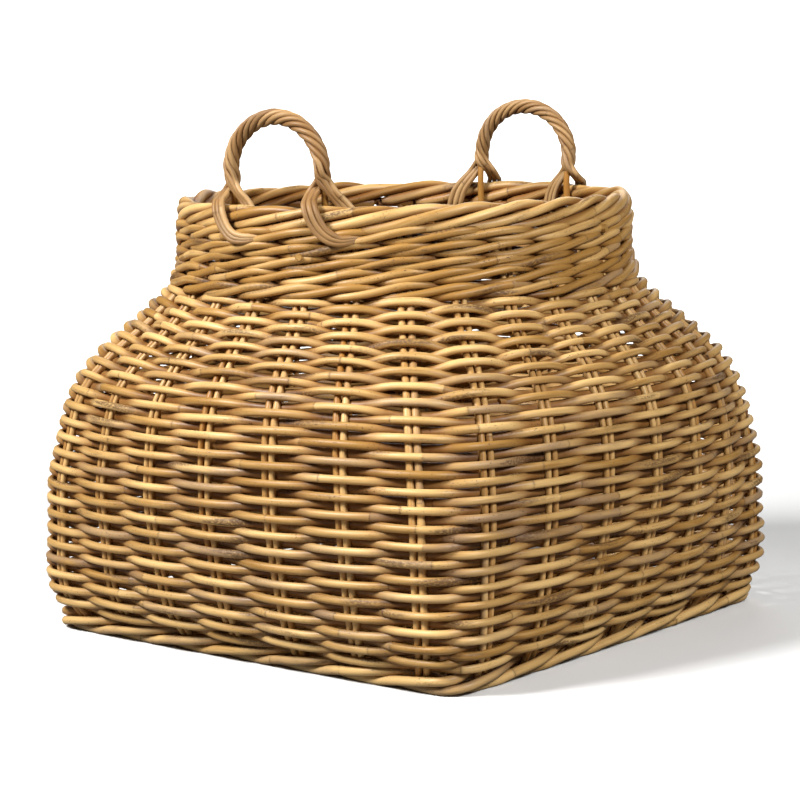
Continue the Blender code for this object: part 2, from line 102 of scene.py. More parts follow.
# First seeds of the random draws
STAKE_SEED, BELLY_SEED, NECK_SEED, FOOT_SEED, BASE_SEED, BORDER_SEED = 100, 200, 300, 400, 450, 500
FRONT_HANDLE_SEED, BACK_HANDLE_SEED = 600, 700

# Stakes run up behind the border, and stray along the wall by about the second value, over a run of the third
STAKE_LAP, STAKE_DRIFT, STAKE_DRIFT_RUN, STAKE_POINTS = 0.004, 0.0006, 0.09, 64
# Number of heights at which the wall's outline is measured for the rows
ROW_SAMPLES = 200
# Belly canes, as shares: flattening across the wall, sharpness of the swing from face to face, and its size
BELLY_FLAT_SHARE = 0.90
SWING_SHARP_SHARE = 0.65
SWING_SHARE = 0.76
SHOULDER_SWING_SHARE = 0.30
FAR_SWING_SHARE = 0.18
# They thicken behind the stakes, more so on the shoulder, and on the far half, and thin on the shoulder
BACK_SWELL_SHARE = 0.14
SHOULDER_BACK_SHARE = 0.22
SHOULDER_THIN_SHARE = 0.06
FAR_SWELL_SHARE = 0.15
# Least and greatest thickness that the spacing of the rows gives them
SPREAD_SHARES = (0.96, 1.18)
# A belly cane stops this share of a pair short, and strays up and down by about that, over so many pairs
BELLY_END_GAP, BELLY_RISE_CHANGE, BELLY_CHANGE_RUN = 0.02, 0.00025, 1.3
# Share of the wall's lean that counts where it leans out
LEAN_SHARE = 0.3
# Upward part of the way out at which the shoulder starts, and how much more there is where it is full
SHOULDER_START, SHOULDER_SPAN = 0.45, 0.4

# Mean, first and second cosine of a waling cane's distance from the wall's middle, and its lean
WALE_SWING_SHARES = (0.333, 0.986, -0.347)
WALE_LEAN = 0.0009
# The neck's top round reaches up behind the border. Its canes rise, sway, and wander over so many pairs
NECK_LAP = 0.006
NECK_RISE_SHARE = 0.36
NECK_SWAY_SHARE = 0.7
NECK_RISE_CHANGE, NECK_OUT_CHANGE = 0.0010, 0.0009
NECK_RISE_RUN, NECK_OUT_RUN = 1.7, 2.1
# Pairs that a neck cane laps past both ends, and its girth at the wall's middle and how much more outside
NECK_END_LAP = 0.6
NECK_GIRTH, NECK_GIRTH_CHANGE = 0.98, 0.10
# Place, height and side, True for outside, of the cut ends that each neck cane leaves
NECK_CUT_ENDS = (
    ((25.55, 0.3917, True), (8.6, 0.378, False), (15.0, 0.402, True)),
    ((19.1, 0.385, False), (3.9, 0.409, True), (12.0, 0.396, False)),
    ((22.2, 0.372, False), (1.4, 0.388, False), (17.6, 0.411, False)),
)
# A cut end's run along the wall and its reach away from it
CUT_END_RUN, CUT_END_REACH, CUT_END_POINTS = 0.015, 0.014, 14

# The foot's middle, rise and clearance above the floor, each in radii of its canes, and its corner's ease
FOOT_MIDDLE_SHARE, FOOT_RISE_SHARE, FOOT_FLOOR_SHARE = 2.55, 1.45, 1.08
FOOT_EASE = 0.28
# Pairs that a foot cane starts before its first stake, and by which its ends overlap
FOOT_START_LAP, FOOT_LAP = 0.4, 2.4
# The base's ribs and weavers: radii, spacings, half the weavers' thickness, and insets from the slab's edge
RIB_RADIUS, RIB_OFFSET = 0.0021, 0.0022
WEAVER_RADIUS, WEAVER_HALF_THICKNESS, WEAVER_SPACING = 0.0025, 0.0013, 0.0048
BASE_INSET, RIB_INSET, BASE_CORNER_CUT = 0.0005, 0.0035, 0.008
# The weavers' middles stay so many half thicknesses under the slab's top. A share makes their peaks broad
WEAVER_SINK_SHARE, WEAVER_BROAD_SHARE = 1.15, 0.25
RIB_POINTS, WEAVER_POINTS_PER_RIB = 70, 6

# Turns of a border cane round the rim, in degrees, from low outside to low inside
BORDER_TURNS = (-105.0, 235.0)
BORDER_POINTS = 72
# Radians of each cane's own start, and the share, radians and metres of its unevenness
BORDER_START_CHANGE = 0.20
BORDER_SWELL_SHARE, BORDER_SWELL_RUN = 0.10, 1.5
BORDER_HUMPS = (-0.0015, 0.0028)
BORDER_HUMP_TURN, BORDER_HUMP_WIDTH = 1.4, 0.5
BORDER_INSIDE_SHARE = 0.75

# The bow stands clear inside the border, bends below and above the rim, and leans under its rope
BOW_GAP, BOW_DROP, BOW_RISE, BOW_LEAN_SHARE = 0.0006, 0.02, 0.009, 0.76
# Heights above the rim where the rope splits, at its left and right foot
SPLIT_RISES = (0.027, 0.031)
CROWN_POINTS = 15
# Steps along the bow, the rope's middle and its strands
BOW_STEP, ROPE_STEP, STRAND_STEP = 0.004, 0.0025, 0.0022
# Distances from the rope's middle out to which a strand gets full painted shade, and past which it gets none
ROPE_DARK, ROPE_CLEAR = 0.0054, 0.0080
# Millimetres by which the tails' tops are lifted, and a share for their reach, at the left and right foot
TAIL_LIFTS, TAIL_REACHES = (0.0, 4.0), (1.0, 0.70)
MILLIMETRES = 1000

# The skin's grains: changes to the metre along the cane and across it, and detail
GRAINS = {
    "streaks": (16.0, 420.0, 3.0), "blotches": (22.0, 110.0, 2.0), "fibres": (70.0, 1700.0, 2.0),
    "dots": (420.0, 800.0, 2.0), "bark": (10.0, 90.0, 2.0),
}
# Radius of the circle on which the grains lie, so that they meet all round a cane
GRAIN_RADIUS = 0.0035
# What the tone, the streaks and the blotches add to the depth of the colour, and the specks to the bark
TONE_WEIGHT, STREAK_WEIGHT, BLOTCH_WEIGHT, BARK_WEIGHT = -0.25, 1.3, 0.9, 0.10
# Values of a grain between which a mark sets in
GREY_BAND, RING_BAND = (0.30, 0.60), (0.30, 0.55)
SCAR_BANDS, SPECK_BANDS = ((0.67, 0.77), (0.26, 0.52)), ((0.62, 0.70), (0.46, 0.62))
# How dark a joint's ring is, and the most that all marks together may be
RING_WEIGHT, MARKS_LIMIT = 0.75, 0.9
# The colour by which the skin is multiplied for painted shade, deep between the canes and on the inside
PAINTED_SHADE_COLOUR = (0.30, 0.145, 0.03, 1.0)
# What fibres and marks add to the roughness, and fibres, streaks and marks to the height
ROUGH_FIBRES, ROUGH_MARKS = 0.16, 0.2
HIGH_FIBRES, HIGH_STREAKS, LOW_MARKS = 0.5, 0.6, 0.4
CANE_SPECULAR, BUMP_STRENGTH, BUMP_DISTANCE = 0.36, 0.35, 0.0004

# The cove's floor start and middle, where it curves up, the curve's radius, its top and half its width
COVE_START, COVE_MIDDLE, COVE_CURVE, COVE_RADIUS, COVE_TOP, COVE_HALF_WIDTH = -2.5, 1.2, 2.6, 1.6, 6.0, 3.2
COVE_CURVE_POINTS, COVE_COLUMNS = 24, 9
COVE_ROUGHNESS, COVE_SPECULAR = 0.9, 0.1
BASKET_MIDDLE = (0.0, 0.0, 0.25)
# Each light's name, place, target, size and the setting that holds its power
LIGHTS = (
    ("key_light", (-0.8, -2.05, 2.15), BASKET_MIDDLE, 0.9, "key_power"),
    ("fill_light", (2.45, -0.65, 1.95), BASKET_MIDDLE, 0.7, "fill_power"),
    ("back_light", (-1.3, 2.3, 1.7), BASKET_MIDDLE, 1.8, "back_power"),
    ("backdrop_light", (-0.4, 1.4, 2.2), (-2.6, 4.2, 1.2), 2.4, "backdrop_power"),
)

# The camera that matches the photograph: its distance, target, direction, roll and lens in millimetres
VIEW_DISTANCE = 2.600
VIEW_TARGET = (-0.0057, -0.0046, 0.225)
VIEW_AZIMUTH, VIEW_ELEVATION = math.radians(-51.14), math.radians(7.76)
VIEW_FROM = (math.cos(VIEW_AZIMUTH) * math.cos(VIEW_ELEVATION),
             math.sin(VIEW_AZIMUTH) * math.cos(VIEW_ELEVATION), math.sin(VIEW_ELEVATION))
VIEW_ROLL = 0.0167
LENS_LENGTH, SENSOR_WIDTH = 112.68, 36.0
# Farthest distance that the camera sees
VIEW_REACH = 60.0


class WallSettings(bpy.types.PropertyGroup):
    """Sizes of the wall, at the middle of the stakes"""
    base_half_side: FloatProperty(name="Base half side", description="Half the base's side",
                                  default=0.248, subtype="DISTANCE", unit="LENGTH")
    belly_half_side: FloatProperty(name="Belly half side", description="Half the belly's width",
                                   default=0.308, subtype="DISTANCE", unit="LENGTH")
    neck_radius: FloatProperty(name="Neck radius", description="Radius of the neck",
                               default=0.223, subtype="DISTANCE", unit="LENGTH")
    neck_foot_height: FloatProperty(name="Neck foot height", description="Where the neck starts",
                                    default=0.350, subtype="DISTANCE", unit="LENGTH")
    rim_height: FloatProperty(name="Rim height", description="Top of the rolled border",
                              default=round(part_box("rim_border")[1].z, 4), subtype="DISTANCE", unit="LENGTH")
    border_foot_height: FloatProperty(name="Border foot height", description="Underside of the border",
                                      default=round(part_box("rim_border")[0].z, 4), subtype="DISTANCE",
                                      unit="LENGTH")


class CaneSettings(bpy.types.PropertyGroup):
    """Radii and spacings of the canes"""
    stake_radius: FloatProperty(name="Stake radius", description="Radius of each upright cane",
                                default=0.0034, subtype="DISTANCE", unit="LENGTH", precision=4)
    stake_offset: FloatProperty(name="Stake offset", description="From a pair's middle to each cane",
                                default=0.0041, subtype="DISTANCE", unit="LENGTH", precision=4)
    belly_radius: FloatProperty(name="Belly cane radius", description="Radius of the belly's weavers",
                                default=0.0044, subtype="DISTANCE", unit="LENGTH", precision=4)
    row_pitch: FloatProperty(name="Row pitch", description="From one belly row to the next",
                             default=0.0079, subtype="DISTANCE", unit="LENGTH", precision=4)
    first_row_height: FloatProperty(name="First row height", description="Middle of the lowest belly row",
                                    default=0.0255, subtype="DISTANCE", unit="LENGTH", precision=4)
    neck_radius: FloatProperty(name="Neck cane radius", description="Radius of the neck's weavers",
                               default=0.0038, subtype="DISTANCE", unit="LENGTH", precision=4)
    foot_radius: FloatProperty(name="Foot cane radius", description="Radius of the canes at the foot",
                               default=0.0044, subtype="DISTANCE", unit="LENGTH", precision=4)
    border_radius: FloatProperty(name="Border cane radius", description="Radius of the border's canes",
                                 default=0.0050, subtype="DISTANCE", unit="LENGTH", precision=4)


class HandleSettings(bpy.types.PropertyGroup):
    """Sizes of the handles"""
    top_height: FloatProperty(name="Top height", description="Top of both handles",
                              default=0.531, subtype="DISTANCE", unit="LENGTH")
    crown_rise: FloatProperty(name="Crown rise", description="Height of the crown's half round",
                              default=0.0521, subtype="DISTANCE", unit="LENGTH")
    front_width: FloatProperty(name="Front width", description="Front handle between its legs' middles",
                               default=0.113, subtype="DISTANCE", unit="LENGTH")
    back_width: FloatProperty(name="Back width", description="Back handle between its legs' middles",
                              default=0.119, subtype="DISTANCE", unit="LENGTH")
    front_foot_spacing: FloatProperty(name="Front foot spacing",
                                      description="Between the front handle's feet",
                                      default=0.112, subtype="DISTANCE", unit="LENGTH")
    back_foot_spacing: FloatProperty(name="Back foot spacing", description="Between the back handle's feet",
                                     default=0.118, subtype="DISTANCE", unit="LENGTH")
    front_turn: FloatProperty(name="Front turn", description="Front handle's turn about the basket's axis",
                              default=math.radians(2.1), subtype="ANGLE", unit="ROTATION")
    back_turn: FloatProperty(name="Back turn", description="Back handle's turn about the basket's axis",
                             default=math.radians(-1.8), subtype="ANGLE", unit="ROTATION")
    rope_radius: FloatProperty(name="Rope radius", description="Radius of the twisted handle",
                               default=0.0082, subtype="DISTANCE", unit="LENGTH", precision=4)
    strand_radius: FloatProperty(name="Strand radius", description="Radius of each twisted cane",
                                 default=0.0028, subtype="DISTANCE", unit="LENGTH", precision=4)
    lay_length: FloatProperty(name="Lay length", description="Length in which a strand goes once round",
                              default=0.072, subtype="DISTANCE", unit="LENGTH")
    bow_radius: FloatProperty(name="Bow radius", description="Radius of the cane inside the handle",
                              default=0.0034, subtype="DISTANCE", unit="LENGTH", precision=4)


class ColourSettings(bpy.types.PropertyGroup):
    """Colours of the canes"""
    pale: FloatVectorProperty(name="Pale straw", description="Lightest skin of the weavers",
                              default=(0.70, 0.45, 0.175), subtype="COLOR", min=0.0, max=1.0)
    honey: FloatVectorProperty(name="Honey", description="Deeper skin of the weavers",
                               default=(0.350, 0.178, 0.040), subtype="COLOR", min=0.0, max=1.0)
    amber: FloatVectorProperty(name="Amber", description="Deeper skin of the stakes and the bows",
                               default=(0.36, 0.155, 0.025), subtype="COLOR", min=0.0, max=1.0)
    rose_grey: FloatVectorProperty(name="Rose grey", description="Weathered stretches of cane",
                                   default=(0.36, 0.225, 0.115), subtype="COLOR", min=0.0, max=1.0)
    umber: FloatVectorProperty(name="Umber", description="Growth joints, specks and scars",
                               default=(0.10, 0.048, 0.018), subtype="COLOR", min=0.0, max=1.0)
    handle_pale: FloatVectorProperty(name="Handle pale", description="Lightest skin of the handle's strands",
                                     default=(0.47, 0.285, 0.12), subtype="COLOR", min=0.0, max=1.0)
    handle_deep: FloatVectorProperty(name="Handle deep", description="Deeper skin of the handle's strands",
                                     default=(0.25, 0.125, 0.04), subtype="COLOR", min=0.0, max=1.0)


class StageSettings(bpy.types.PropertyGroup):
    """The studio"""
    backdrop: FloatVectorProperty(name="Backdrop", description="Colour of the floor and the cove",
                                  default=(0.92, 0.92, 0.915), subtype="COLOR", min=0.0, max=1.0)
    key_power: FloatProperty(name="Key power", description="Power of the main light, in watts",
                             default=134.0)
    fill_power: FloatProperty(name="Fill power", description="Power of the fill light, in watts",
                              default=76.0)
    back_power: FloatProperty(name="Back power", description="Power of the light behind, in watts",
                              default=15.0)
    backdrop_power: FloatProperty(name="Backdrop power",
                                  description="Power of the light on the cove, in watts", default=160.0)
    bounce: FloatProperty(name="Bounce", description="Share of the cove's light that reaches the basket",
                          default=0.24, subtype="FACTOR", min=0.0, max=1.0)
    sky: FloatProperty(name="Sky", description="Brightness of the room's even light", default=0.06)
    horizon: FloatProperty(name="Horizon", description="Brightness of the room where the camera sees it",
                           default=0.95)


def settings(context):
    """The settings of the wall, the canes and the colours."""
    scene = context.scene
    return scene.basket_wall, scene.basket_canes, scene.basket_colours


def unit(vectors):
    return vectors / np.linalg.norm(vectors, axis=-1, keepdims=True)


def square_to(facing, heading):
    """The facing less its share along the heading, made one long."""
    return unit(facing - (facing * heading).sum(-1, keepdims=True) * heading)


def run_along(path):
    """Distance along a path to each of its points."""
    return np.concatenate(((0.0,), np.cumsum(np.linalg.norm(np.diff(path, axis=0), axis=1))))


def carried(new, run, values):
    """The columns of values at new distances of a run, straight between the old ones."""
    return np.stack([np.interp(new, run, values[:, axis]) for axis in range(values.shape[1])], -1)


def smooth_curve(places, knots, values):
    """Smooth curve through the knots that never overshoots them (harmonic mean slopes)."""
    knots, values = np.asarray(knots, float), np.asarray(values, float)
    steps = np.diff(knots)
    rises = np.diff(values) / steps
    slopes = np.zeros(len(knots))
    slopes[0], slopes[-1] = rises[0], rises[-1]
    products = rises[:-1] * rises[1:]
    level = products <= 0
    sums = np.where(level, 1.0, rises[:-1] + rises[1:])
    slopes[1:-1] = np.where(level, 0.0, 2 * products / sums)
    places = np.clip(places, knots[0], knots[-1])
    cell = np.clip(np.searchsorted(knots, places, side="right") - 1, 0, len(knots) - 2)
    share = (places - knots[cell]) / steps[cell]
    start = (1 + 2 * share) * (1 - share) ** 2 * values[cell]
    start += share * (1 - share) ** 2 * steps[cell] * slopes[cell]
    end = share ** 2 * (3 - 2 * share) * values[cell + 1]
    end += share ** 2 * (share - 1) * steps[cell] * slopes[cell + 1]
    return start + end


def wall_size(wall, heights):
    """Half side of the wall, and its roundness from 0, square, to 1, round."""
    knots, sizes, roundness = [], [], []
    halves = ((LOWER_WALL_SHARES, wall.base_half_side), (UPPER_WALL_SHARES, wall.neck_radius))
    for shares, least in halves:
        for height_share, swell, round_share in shares:
            knots.append(height_share * wall.neck_foot_height)
            sizes.append(least + (wall.belly_half_side - least) * swell)
            roundness.append(round_share)
    return smooth_curve(heights, knots, sizes), smooth_curve(heights, knots, roundness)


def square_side(around, ease):
    """One coordinate of a unit square, walked round in sides: 1 on one side, -1 on the one across, straight
    between. Each corner is a parabola over a width of ease sides either way."""
    off = np.abs((around + 1.5) % 4 - 2)
    ramps = []
    for corner in (0.5, 1.5):
        z = off - corner
        ramps.append(np.where(z > ease, z, np.where(z < -ease, 0.0, (z + ease) ** 2 / (4 * ease))))
    return 1 - 2 * (ramps[0] - ramps[1])


def wall_points(wall, places, heights, ease=0.5):
    """Points of the wall's middle: size x (square x (1 - roundness) + circle x roundness)."""
    places, heights = np.broadcast_arrays(np.asarray(places, float), np.asarray(heights, float))
    size, roundness = wall_size(wall, heights)
    around = places / PAIRS_PER_SIDE
    width = ease / PAIRS_PER_SIDE
    angle = (around - 0.5) * math.pi / 2
    x = size * (square_side(around, width) * (1 - roundness) + np.cos(angle) * roundness)
    y = size * (square_side(around - 1, width) * (1 - roundness) + np.sin(angle) * roundness)
    return np.stack((x, y, heights), -1)


def wall_frame(wall, places, heights, ease=0.5):
    """Points, the way along and the way out: the cross product of a small step along and one up."""
    def across(along, up):
        return (wall_points(wall, places + along, heights + up, ease)
                - wall_points(wall, places - along, heights - up, ease))

    along = across(STEP_ALONG, 0.0)
    return wall_points(wall, places, heights, ease), unit(along), unit(np.cross(along, across(0.0, STEP_UP)))


def climb(counts):
    """Rounds climbed after so many pairs: level on three sides, a smooth step on the fourth."""
    turns = np.floor(counts / PAIRS)
    share = np.maximum((counts / PAIRS - turns - (1 - CLIMB_SHARE)) / CLIMB_SHARE, 0.0)
    return turns + share * share * (3 - 2 * share)


def row_heights(wall, canes):
    """Heights of the belly rows, evenly spaced along the wall's mean outline."""
    heights = np.linspace(canes.first_row_height, wall.neck_foot_height - canes.row_pitch / 2, ROW_SAMPLES)
    places = np.arange(PAIRS) + 0.5
    points = wall_points(wall, places[None, :], heights[:, None])
    radius = np.linalg.norm(points[..., :2], axis=-1).mean(-1)
    run = np.concatenate(((0.0,), np.cumsum(np.hypot(np.diff(radius), np.diff(heights)))))
    rows = 2 * round((run[-1] / canes.row_pitch + 1) / 2)
    return np.interp(np.linspace(0.0, run[-1], rows), run, heights)


def sway(places, heights):
    """Slow unevenness of hand work in metres: a sum of waves round the wall and up it."""
    turn = 2 * math.pi * places / PAIRS
    return sum(size * np.sin(round_waves * turn + up_waves * heights + start)
               for size, round_waves, up_waves, start in SWAY_WAVES)


def wander(run, rng, spacing):
    """Slow random change along a run: values drawn every spacing, joined by half cosine waves."""
    drawn = rng.normal(size=int(run[-1] / spacing) + 3)
    cell = np.floor(run / spacing).astype(int)
    share = (1 - np.cos(math.pi * (run / spacing - cell))) / 2
    return drawn[cell] * (1 - share) + drawn[cell + 1] * share


def cane(path, facing, radius, rng, sides=CANE_SIDES, joint_gap=0.30, grey_share=0.14, tones=0.9,
         taper=(1.0, 1.0), thinness=1.0, swell=None, off=None, clear=(0.0, 1.0)):
    """One cane as rings: point + r (thinness cos a x across + sin a x upward), where across is the facing
    made square to the cane.

    r is the radius x swell x slow unevenness x a narrow bump at every growth joint, 1 + swelling x
    exp (-(d / half width) squared) at a distance d from it. Returns the rings, and the run, tone, greyness
    and joint of each, and a mask of painted shade: a point is darkened by how near it lies to the weave's
    middle, 1 nearer than the first distance of clear, 0 past the second, where off is the path's own distance
    from that middle. On the inside, only INSIDE_SHARE of the distance counts, which paints more shade there.
    """
    run = run_along(path)
    gaps = rng.uniform(*JOINT_GAP_SHARES, int(run[-1] / joint_gap * 2) + 4) * joint_gap
    joints = np.cumsum(gaps) - gaps[0] * rng.uniform(*FIRST_JOINT_SHARES)
    joints = joints[joints < run[-1] - JOINT_END_GAP]
    ridge = (joints[:, None] + JOINT_POINTS).ravel()
    new = np.sort(np.concatenate((run, ridge[(ridge > 0) & (ridge < run[-1])])))
    path = carried(new, run, path)
    facing = unit(carried(new, run, facing))
    between = np.searchsorted(joints, new)
    nearest = np.abs(new[:, None] - joints[None, :]).min(1) if len(joints) else np.full(len(new), 1.0)
    slow = GIRTH_CHANGE_SHARE * wander(new, rng, GIRTH_CHANGE_RUN)
    girth = radius * (1 + slow + rng.uniform(-GIRTH_STEP_SHARE, GIRTH_STEP_SHARE, len(joints) + 1)[between])
    girth *= 1 + JOINT_SWELL_SHARE * np.exp(-(nearest / JOINT_HALF_WIDTH) ** 2)
    if swell is not None:
        girth *= np.interp(new, run, swell)
    places = (0.0, TAPER_SHARE, 1 - TAPER_SHARE, 1.0)
    girth *= np.interp(new / new[-1], places, (taper[0], 1.0, 1.0, taper[1]))
    tone = tones * rng.normal(size=len(joints) + 1)[between]
    tone += TONE_CHANGE_SHARE * wander(new, rng, TONE_CHANGE_RUN)
    greys = (rng.random(len(joints) + 1) < grey_share) * rng.uniform(*GREY_RANGE, len(joints) + 1)
    heading = unit(np.gradient(path, axis=0))
    across = square_to(facing, heading)
    upward = np.cross(across, heading)
    turn = 2 * math.pi * np.arange(sides) / sides
    rings = thinness * np.cos(turn)[:, None] * across[:, None] + np.sin(turn)[:, None] * upward[:, None]
    rings = path[:, None] + rings * girth[:, None, None]
    apart = np.full(len(new), 1.0) if off is None else np.interp(new, run, off)
    apart = apart[:, None] + thinness * girth[:, None] * np.cos(turn)
    # Painted shade: the inside of the basket counts as nearer the middle, so it is darkened more
    apart = np.where(apart < 0, -INSIDE_SHARE * apart, apart)
    return {
        "hidden": np.clip((clear[1] - apart) / (clear[1] - clear[0]), 0.0, 1.0),
        "rings": rings, "run": new + rng.uniform(0.0, LAST_RUN_START), "tone": tone, "grey": greys[between],
        "joint": np.clip(1 - nearest / JOINT_RING_HALF_WIDTH, 0.0, 1.0),
    }


def quad_strip(rings, sides, first):
    """Corners of the quads between neighbouring rings, wound to face out, and of both end caps."""
    ring = np.arange(rings - 1)[:, None] * sides + first
    side = np.arange(sides)[None, :]
    after = (side + 1) % sides
    quads = np.stack((ring + side, ring + sides + side, ring + sides + after, ring + after), -1)
    caps = np.stack((first + np.arange(sides), first + (rings - 1) * sides + np.arange(sides)[::-1]))
    return quads.reshape(-1, 4), caps


def woven_piece(name, canes, material):
    """One mesh from several canes, with a UV of run and turn and the values that the cane skin reads."""
    points, quads, caps, turns, sides_of = [], [], [], [], []
    first = 0
    for one in canes:
        rings, sides = one["rings"].shape[:2]
        strip, ends = quad_strip(rings, sides, first)
        points.append(one["rings"].reshape(-1, 3))
        quads.append(strip)
        caps.append(ends)
        turns.append(np.tile(np.arange(sides) / sides, rings))
        sides_of.append(np.full(rings * sides, sides))
        first += rings * sides
    points, quads = np.concatenate(points), np.concatenate(quads)
    per_point = {key: np.concatenate([np.repeat(one[key], one["rings"].shape[1]) for one in canes])
                 for key in ("run", "tone", "grey", "joint")}
    per_point["hidden"] = np.concatenate([one["hidden"].ravel() for one in canes])
    turns = np.concatenate(turns)
    corners = np.concatenate([quads.ravel()] + [ends.ravel() for ends in caps])
    counts = np.concatenate([np.full(len(quads), 4)] + [np.full(2, ends.shape[1]) for ends in caps])
    starts = np.concatenate(((0,), np.cumsum(counts)[:-1]))
    mesh = bpy.data.meshes.new(name)
    mesh.vertices.add(len(points))
    mesh.vertices.foreach_set("co", points.ravel().astype(np.float32))
    mesh.loops.add(len(corners))
    mesh.loops.foreach_set("vertex_index", corners.astype(np.int32))
    mesh.polygons.add(len(counts))
    mesh.polygons.foreach_set("loop_start", starts.astype(np.int32))
    mesh.update(calc_edges=True)
    # The quads that close a ring run on to a whole turn, in place of back to none
    around = turns[corners]
    wraps = np.zeros(len(corners), bool)
    in_quads = around[:len(quads) * 4].reshape(-1, 4)
    wraps[:len(quads) * 4] = ((in_quads < 0.01) & (in_quads.max(1, keepdims=True) > 0.6)).ravel()
    around = np.where(wraps, 1.0, around)
    layer = mesh.uv_layers.new(name="cane")
    places = np.stack((per_point["run"][corners], around), -1)
    layer.data.foreach_set("uv", places.ravel().astype(np.float32))
    for key in ("tone", "grey", "joint", "hidden"):
        values = mesh.attributes.new(key, "FLOAT", "POINT")
        values.data.foreach_set("value", per_point[key].astype(np.float32))
    mesh.polygons.foreach_set("use_smooth", np.ones(len(counts), bool))
    mesh.update()
    mesh.set_sharp_from_angle(angle=SHARP_ANGLE)
    mesh.materials.append(material)
    piece = bpy.data.objects.new(name, mesh)
    bpy.context.scene.collection.objects.link(piece)
    return piece


def put(piece, slot, *nodes):
    """The piece rides on the basket and stands for those CAD nodes, which it hides. The slot is not used."""
    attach(piece, "root")
    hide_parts(*nodes)


def cane_skin_group():
    """Node group for cane skin: a colour, a roughness and a height that follow each cane's length."""
    name = "Cane Skin"
    if name in bpy.data.node_groups:
        return bpy.data.node_groups[name]
    group = bpy.data.node_groups.new(name, "ShaderNodeTree")
    for socket in ("Pale", "Deep", "Grey", "Dark"):
        group.interface.new_socket(socket, in_out="INPUT", socket_type="NodeSocketColor")
    for socket in ("Depth", "Specks", "Gloss", "Stain"):
        group.interface.new_socket(socket, in_out="INPUT", socket_type="NodeSocketFloat")
    for socket, kind in (("Color", "Color"), ("Roughness", "Float"), ("Height", "Float")):
        group.interface.new_socket(socket, in_out="OUTPUT", socket_type="NodeSocket" + kind)
    tree, nodes = group.links.new, group.nodes
    inside, outside = nodes.new("NodeGroupInput"), nodes.new("NodeGroupOutput")

    def maths(operation, first, second=None, third=None):
        node = nodes.new("ShaderNodeMath")
        node.operation = operation
        for socket, value in zip(node.inputs, (first, second, third)):
            if isinstance(value, (int, float)):
                socket.default_value = value
            elif value is not None:
                tree(value, socket)
        return node.outputs[0]

    def value_of(attribute):
        node = nodes.new("ShaderNodeAttribute")
        node.attribute_name = attribute
        return node.outputs["Fac"]

    def band(value, low, high):
        node = nodes.new("ShaderNodeMapRange")
        node.inputs["From Min"].default_value = low
        node.inputs["From Max"].default_value = high
        tree(value, node.inputs["Value"])
        return node.outputs["Result"]

    def blend(factor, first, second):
        node = nodes.new("ShaderNodeMix")
        node.data_type = "RGBA"
        tree(factor, node.inputs["Factor"])
        tree(first, node.inputs["A"])
        tree(second, node.inputs["B"])
        return node.outputs["Result"]

    # A point of the cane laid out straight: its run, and its place round a circle
    uv = nodes.new("ShaderNodeUVMap")
    uv.uv_map = "cane"
    split = nodes.new("ShaderNodeSeparateXYZ")
    tree(uv.outputs["UV"], split.inputs[0])
    turn = maths("MULTIPLY", split.outputs["Y"], 2 * math.pi)
    sideways = maths("MULTIPLY", maths("COSINE", turn), GRAIN_RADIUS)
    upright = maths("MULTIPLY", maths("SINE", turn), GRAIN_RADIUS)

    def grain(along, across, detail):
        """Noise with so many changes to the metre along the cane and across it."""
        joined = nodes.new("ShaderNodeCombineXYZ")
        tree(maths("MULTIPLY", split.outputs["X"], along), joined.inputs[0])
        tree(maths("MULTIPLY", sideways, across), joined.inputs[1])
        tree(maths("MULTIPLY", upright, across), joined.inputs[2])
        noise = nodes.new("ShaderNodeTexNoise")
        noise.inputs["Scale"].default_value = 1.0
        noise.inputs["Detail"].default_value = detail
        tree(joined.outputs[0], noise.inputs["Vector"])
        return noise.outputs["Fac"]

    streaks, blotches, fibres, dots, bark = [grain(*values) for values in GRAINS.values()]
    bark = maths("MULTIPLY_ADD", inside.outputs["Specks"], BARK_WEIGHT, bark)
    shade = maths("MULTIPLY_ADD", value_of("tone"), TONE_WEIGHT, inside.outputs["Depth"])
    for noise, weight in ((streaks, STREAK_WEIGHT), (blotches, BLOTCH_WEIGHT)):
        shade = maths("ADD", shade, maths("MULTIPLY", maths("SUBTRACT", noise, 0.5), weight))
    skin = blend(band(shade, 0.0, 1.0), inside.outputs["Pale"], inside.outputs["Deep"])
    worn = maths("MULTIPLY", value_of("grey"), band(blotches, *GREY_BAND))
    skin = blend(worn, skin, inside.outputs["Grey"])
    scars = maths("MULTIPLY", band(bark, *SCAR_BANDS[0]), band(dots, *SCAR_BANDS[1]))
    specks = maths("MULTIPLY", band(dots, *SPECK_BANDS[0]), band(blotches, *SPECK_BANDS[1]))
    marks = maths("MULTIPLY", maths("ADD", scars, specks), inside.outputs["Specks"])
    ring = maths("MULTIPLY", value_of("joint"), band(streaks, *RING_BAND))
    marks = maths("MINIMUM", maths("MULTIPLY_ADD", ring, RING_WEIGHT, marks), MARKS_LIMIT)
    skin = blend(marks, skin, inside.outputs["Dark"])
    # Painted shade: the skin is multiplied towards a dark brown by the mask of how deep it lies among the
    # canes
    painted_shade = nodes.new("ShaderNodeMix")
    painted_shade.data_type = "RGBA"
    painted_shade.blend_type = "MULTIPLY"
    painted_shade.inputs["B"].default_value = PAINTED_SHADE_COLOUR
    tree(maths("MULTIPLY", value_of("hidden"), inside.outputs["Stain"]), painted_shade.inputs["Factor"])
    tree(skin, painted_shade.inputs["A"])
    tree(painted_shade.outputs["Result"], outside.inputs["Color"])
    rough = maths("MULTIPLY_ADD", fibres, ROUGH_FIBRES, maths("MULTIPLY", marks, ROUGH_MARKS))
    tree(maths("ADD", rough, inside.outputs["Gloss"]), outside.inputs["Roughness"])
    height = maths("MULTIPLY_ADD", fibres, HIGH_FIBRES, maths("MULTIPLY", streaks, HIGH_STREAKS))
    tree(maths("SUBTRACT", height, maths("MULTIPLY", marks, LOW_MARKS)), outside.inputs["Height"])
    return group


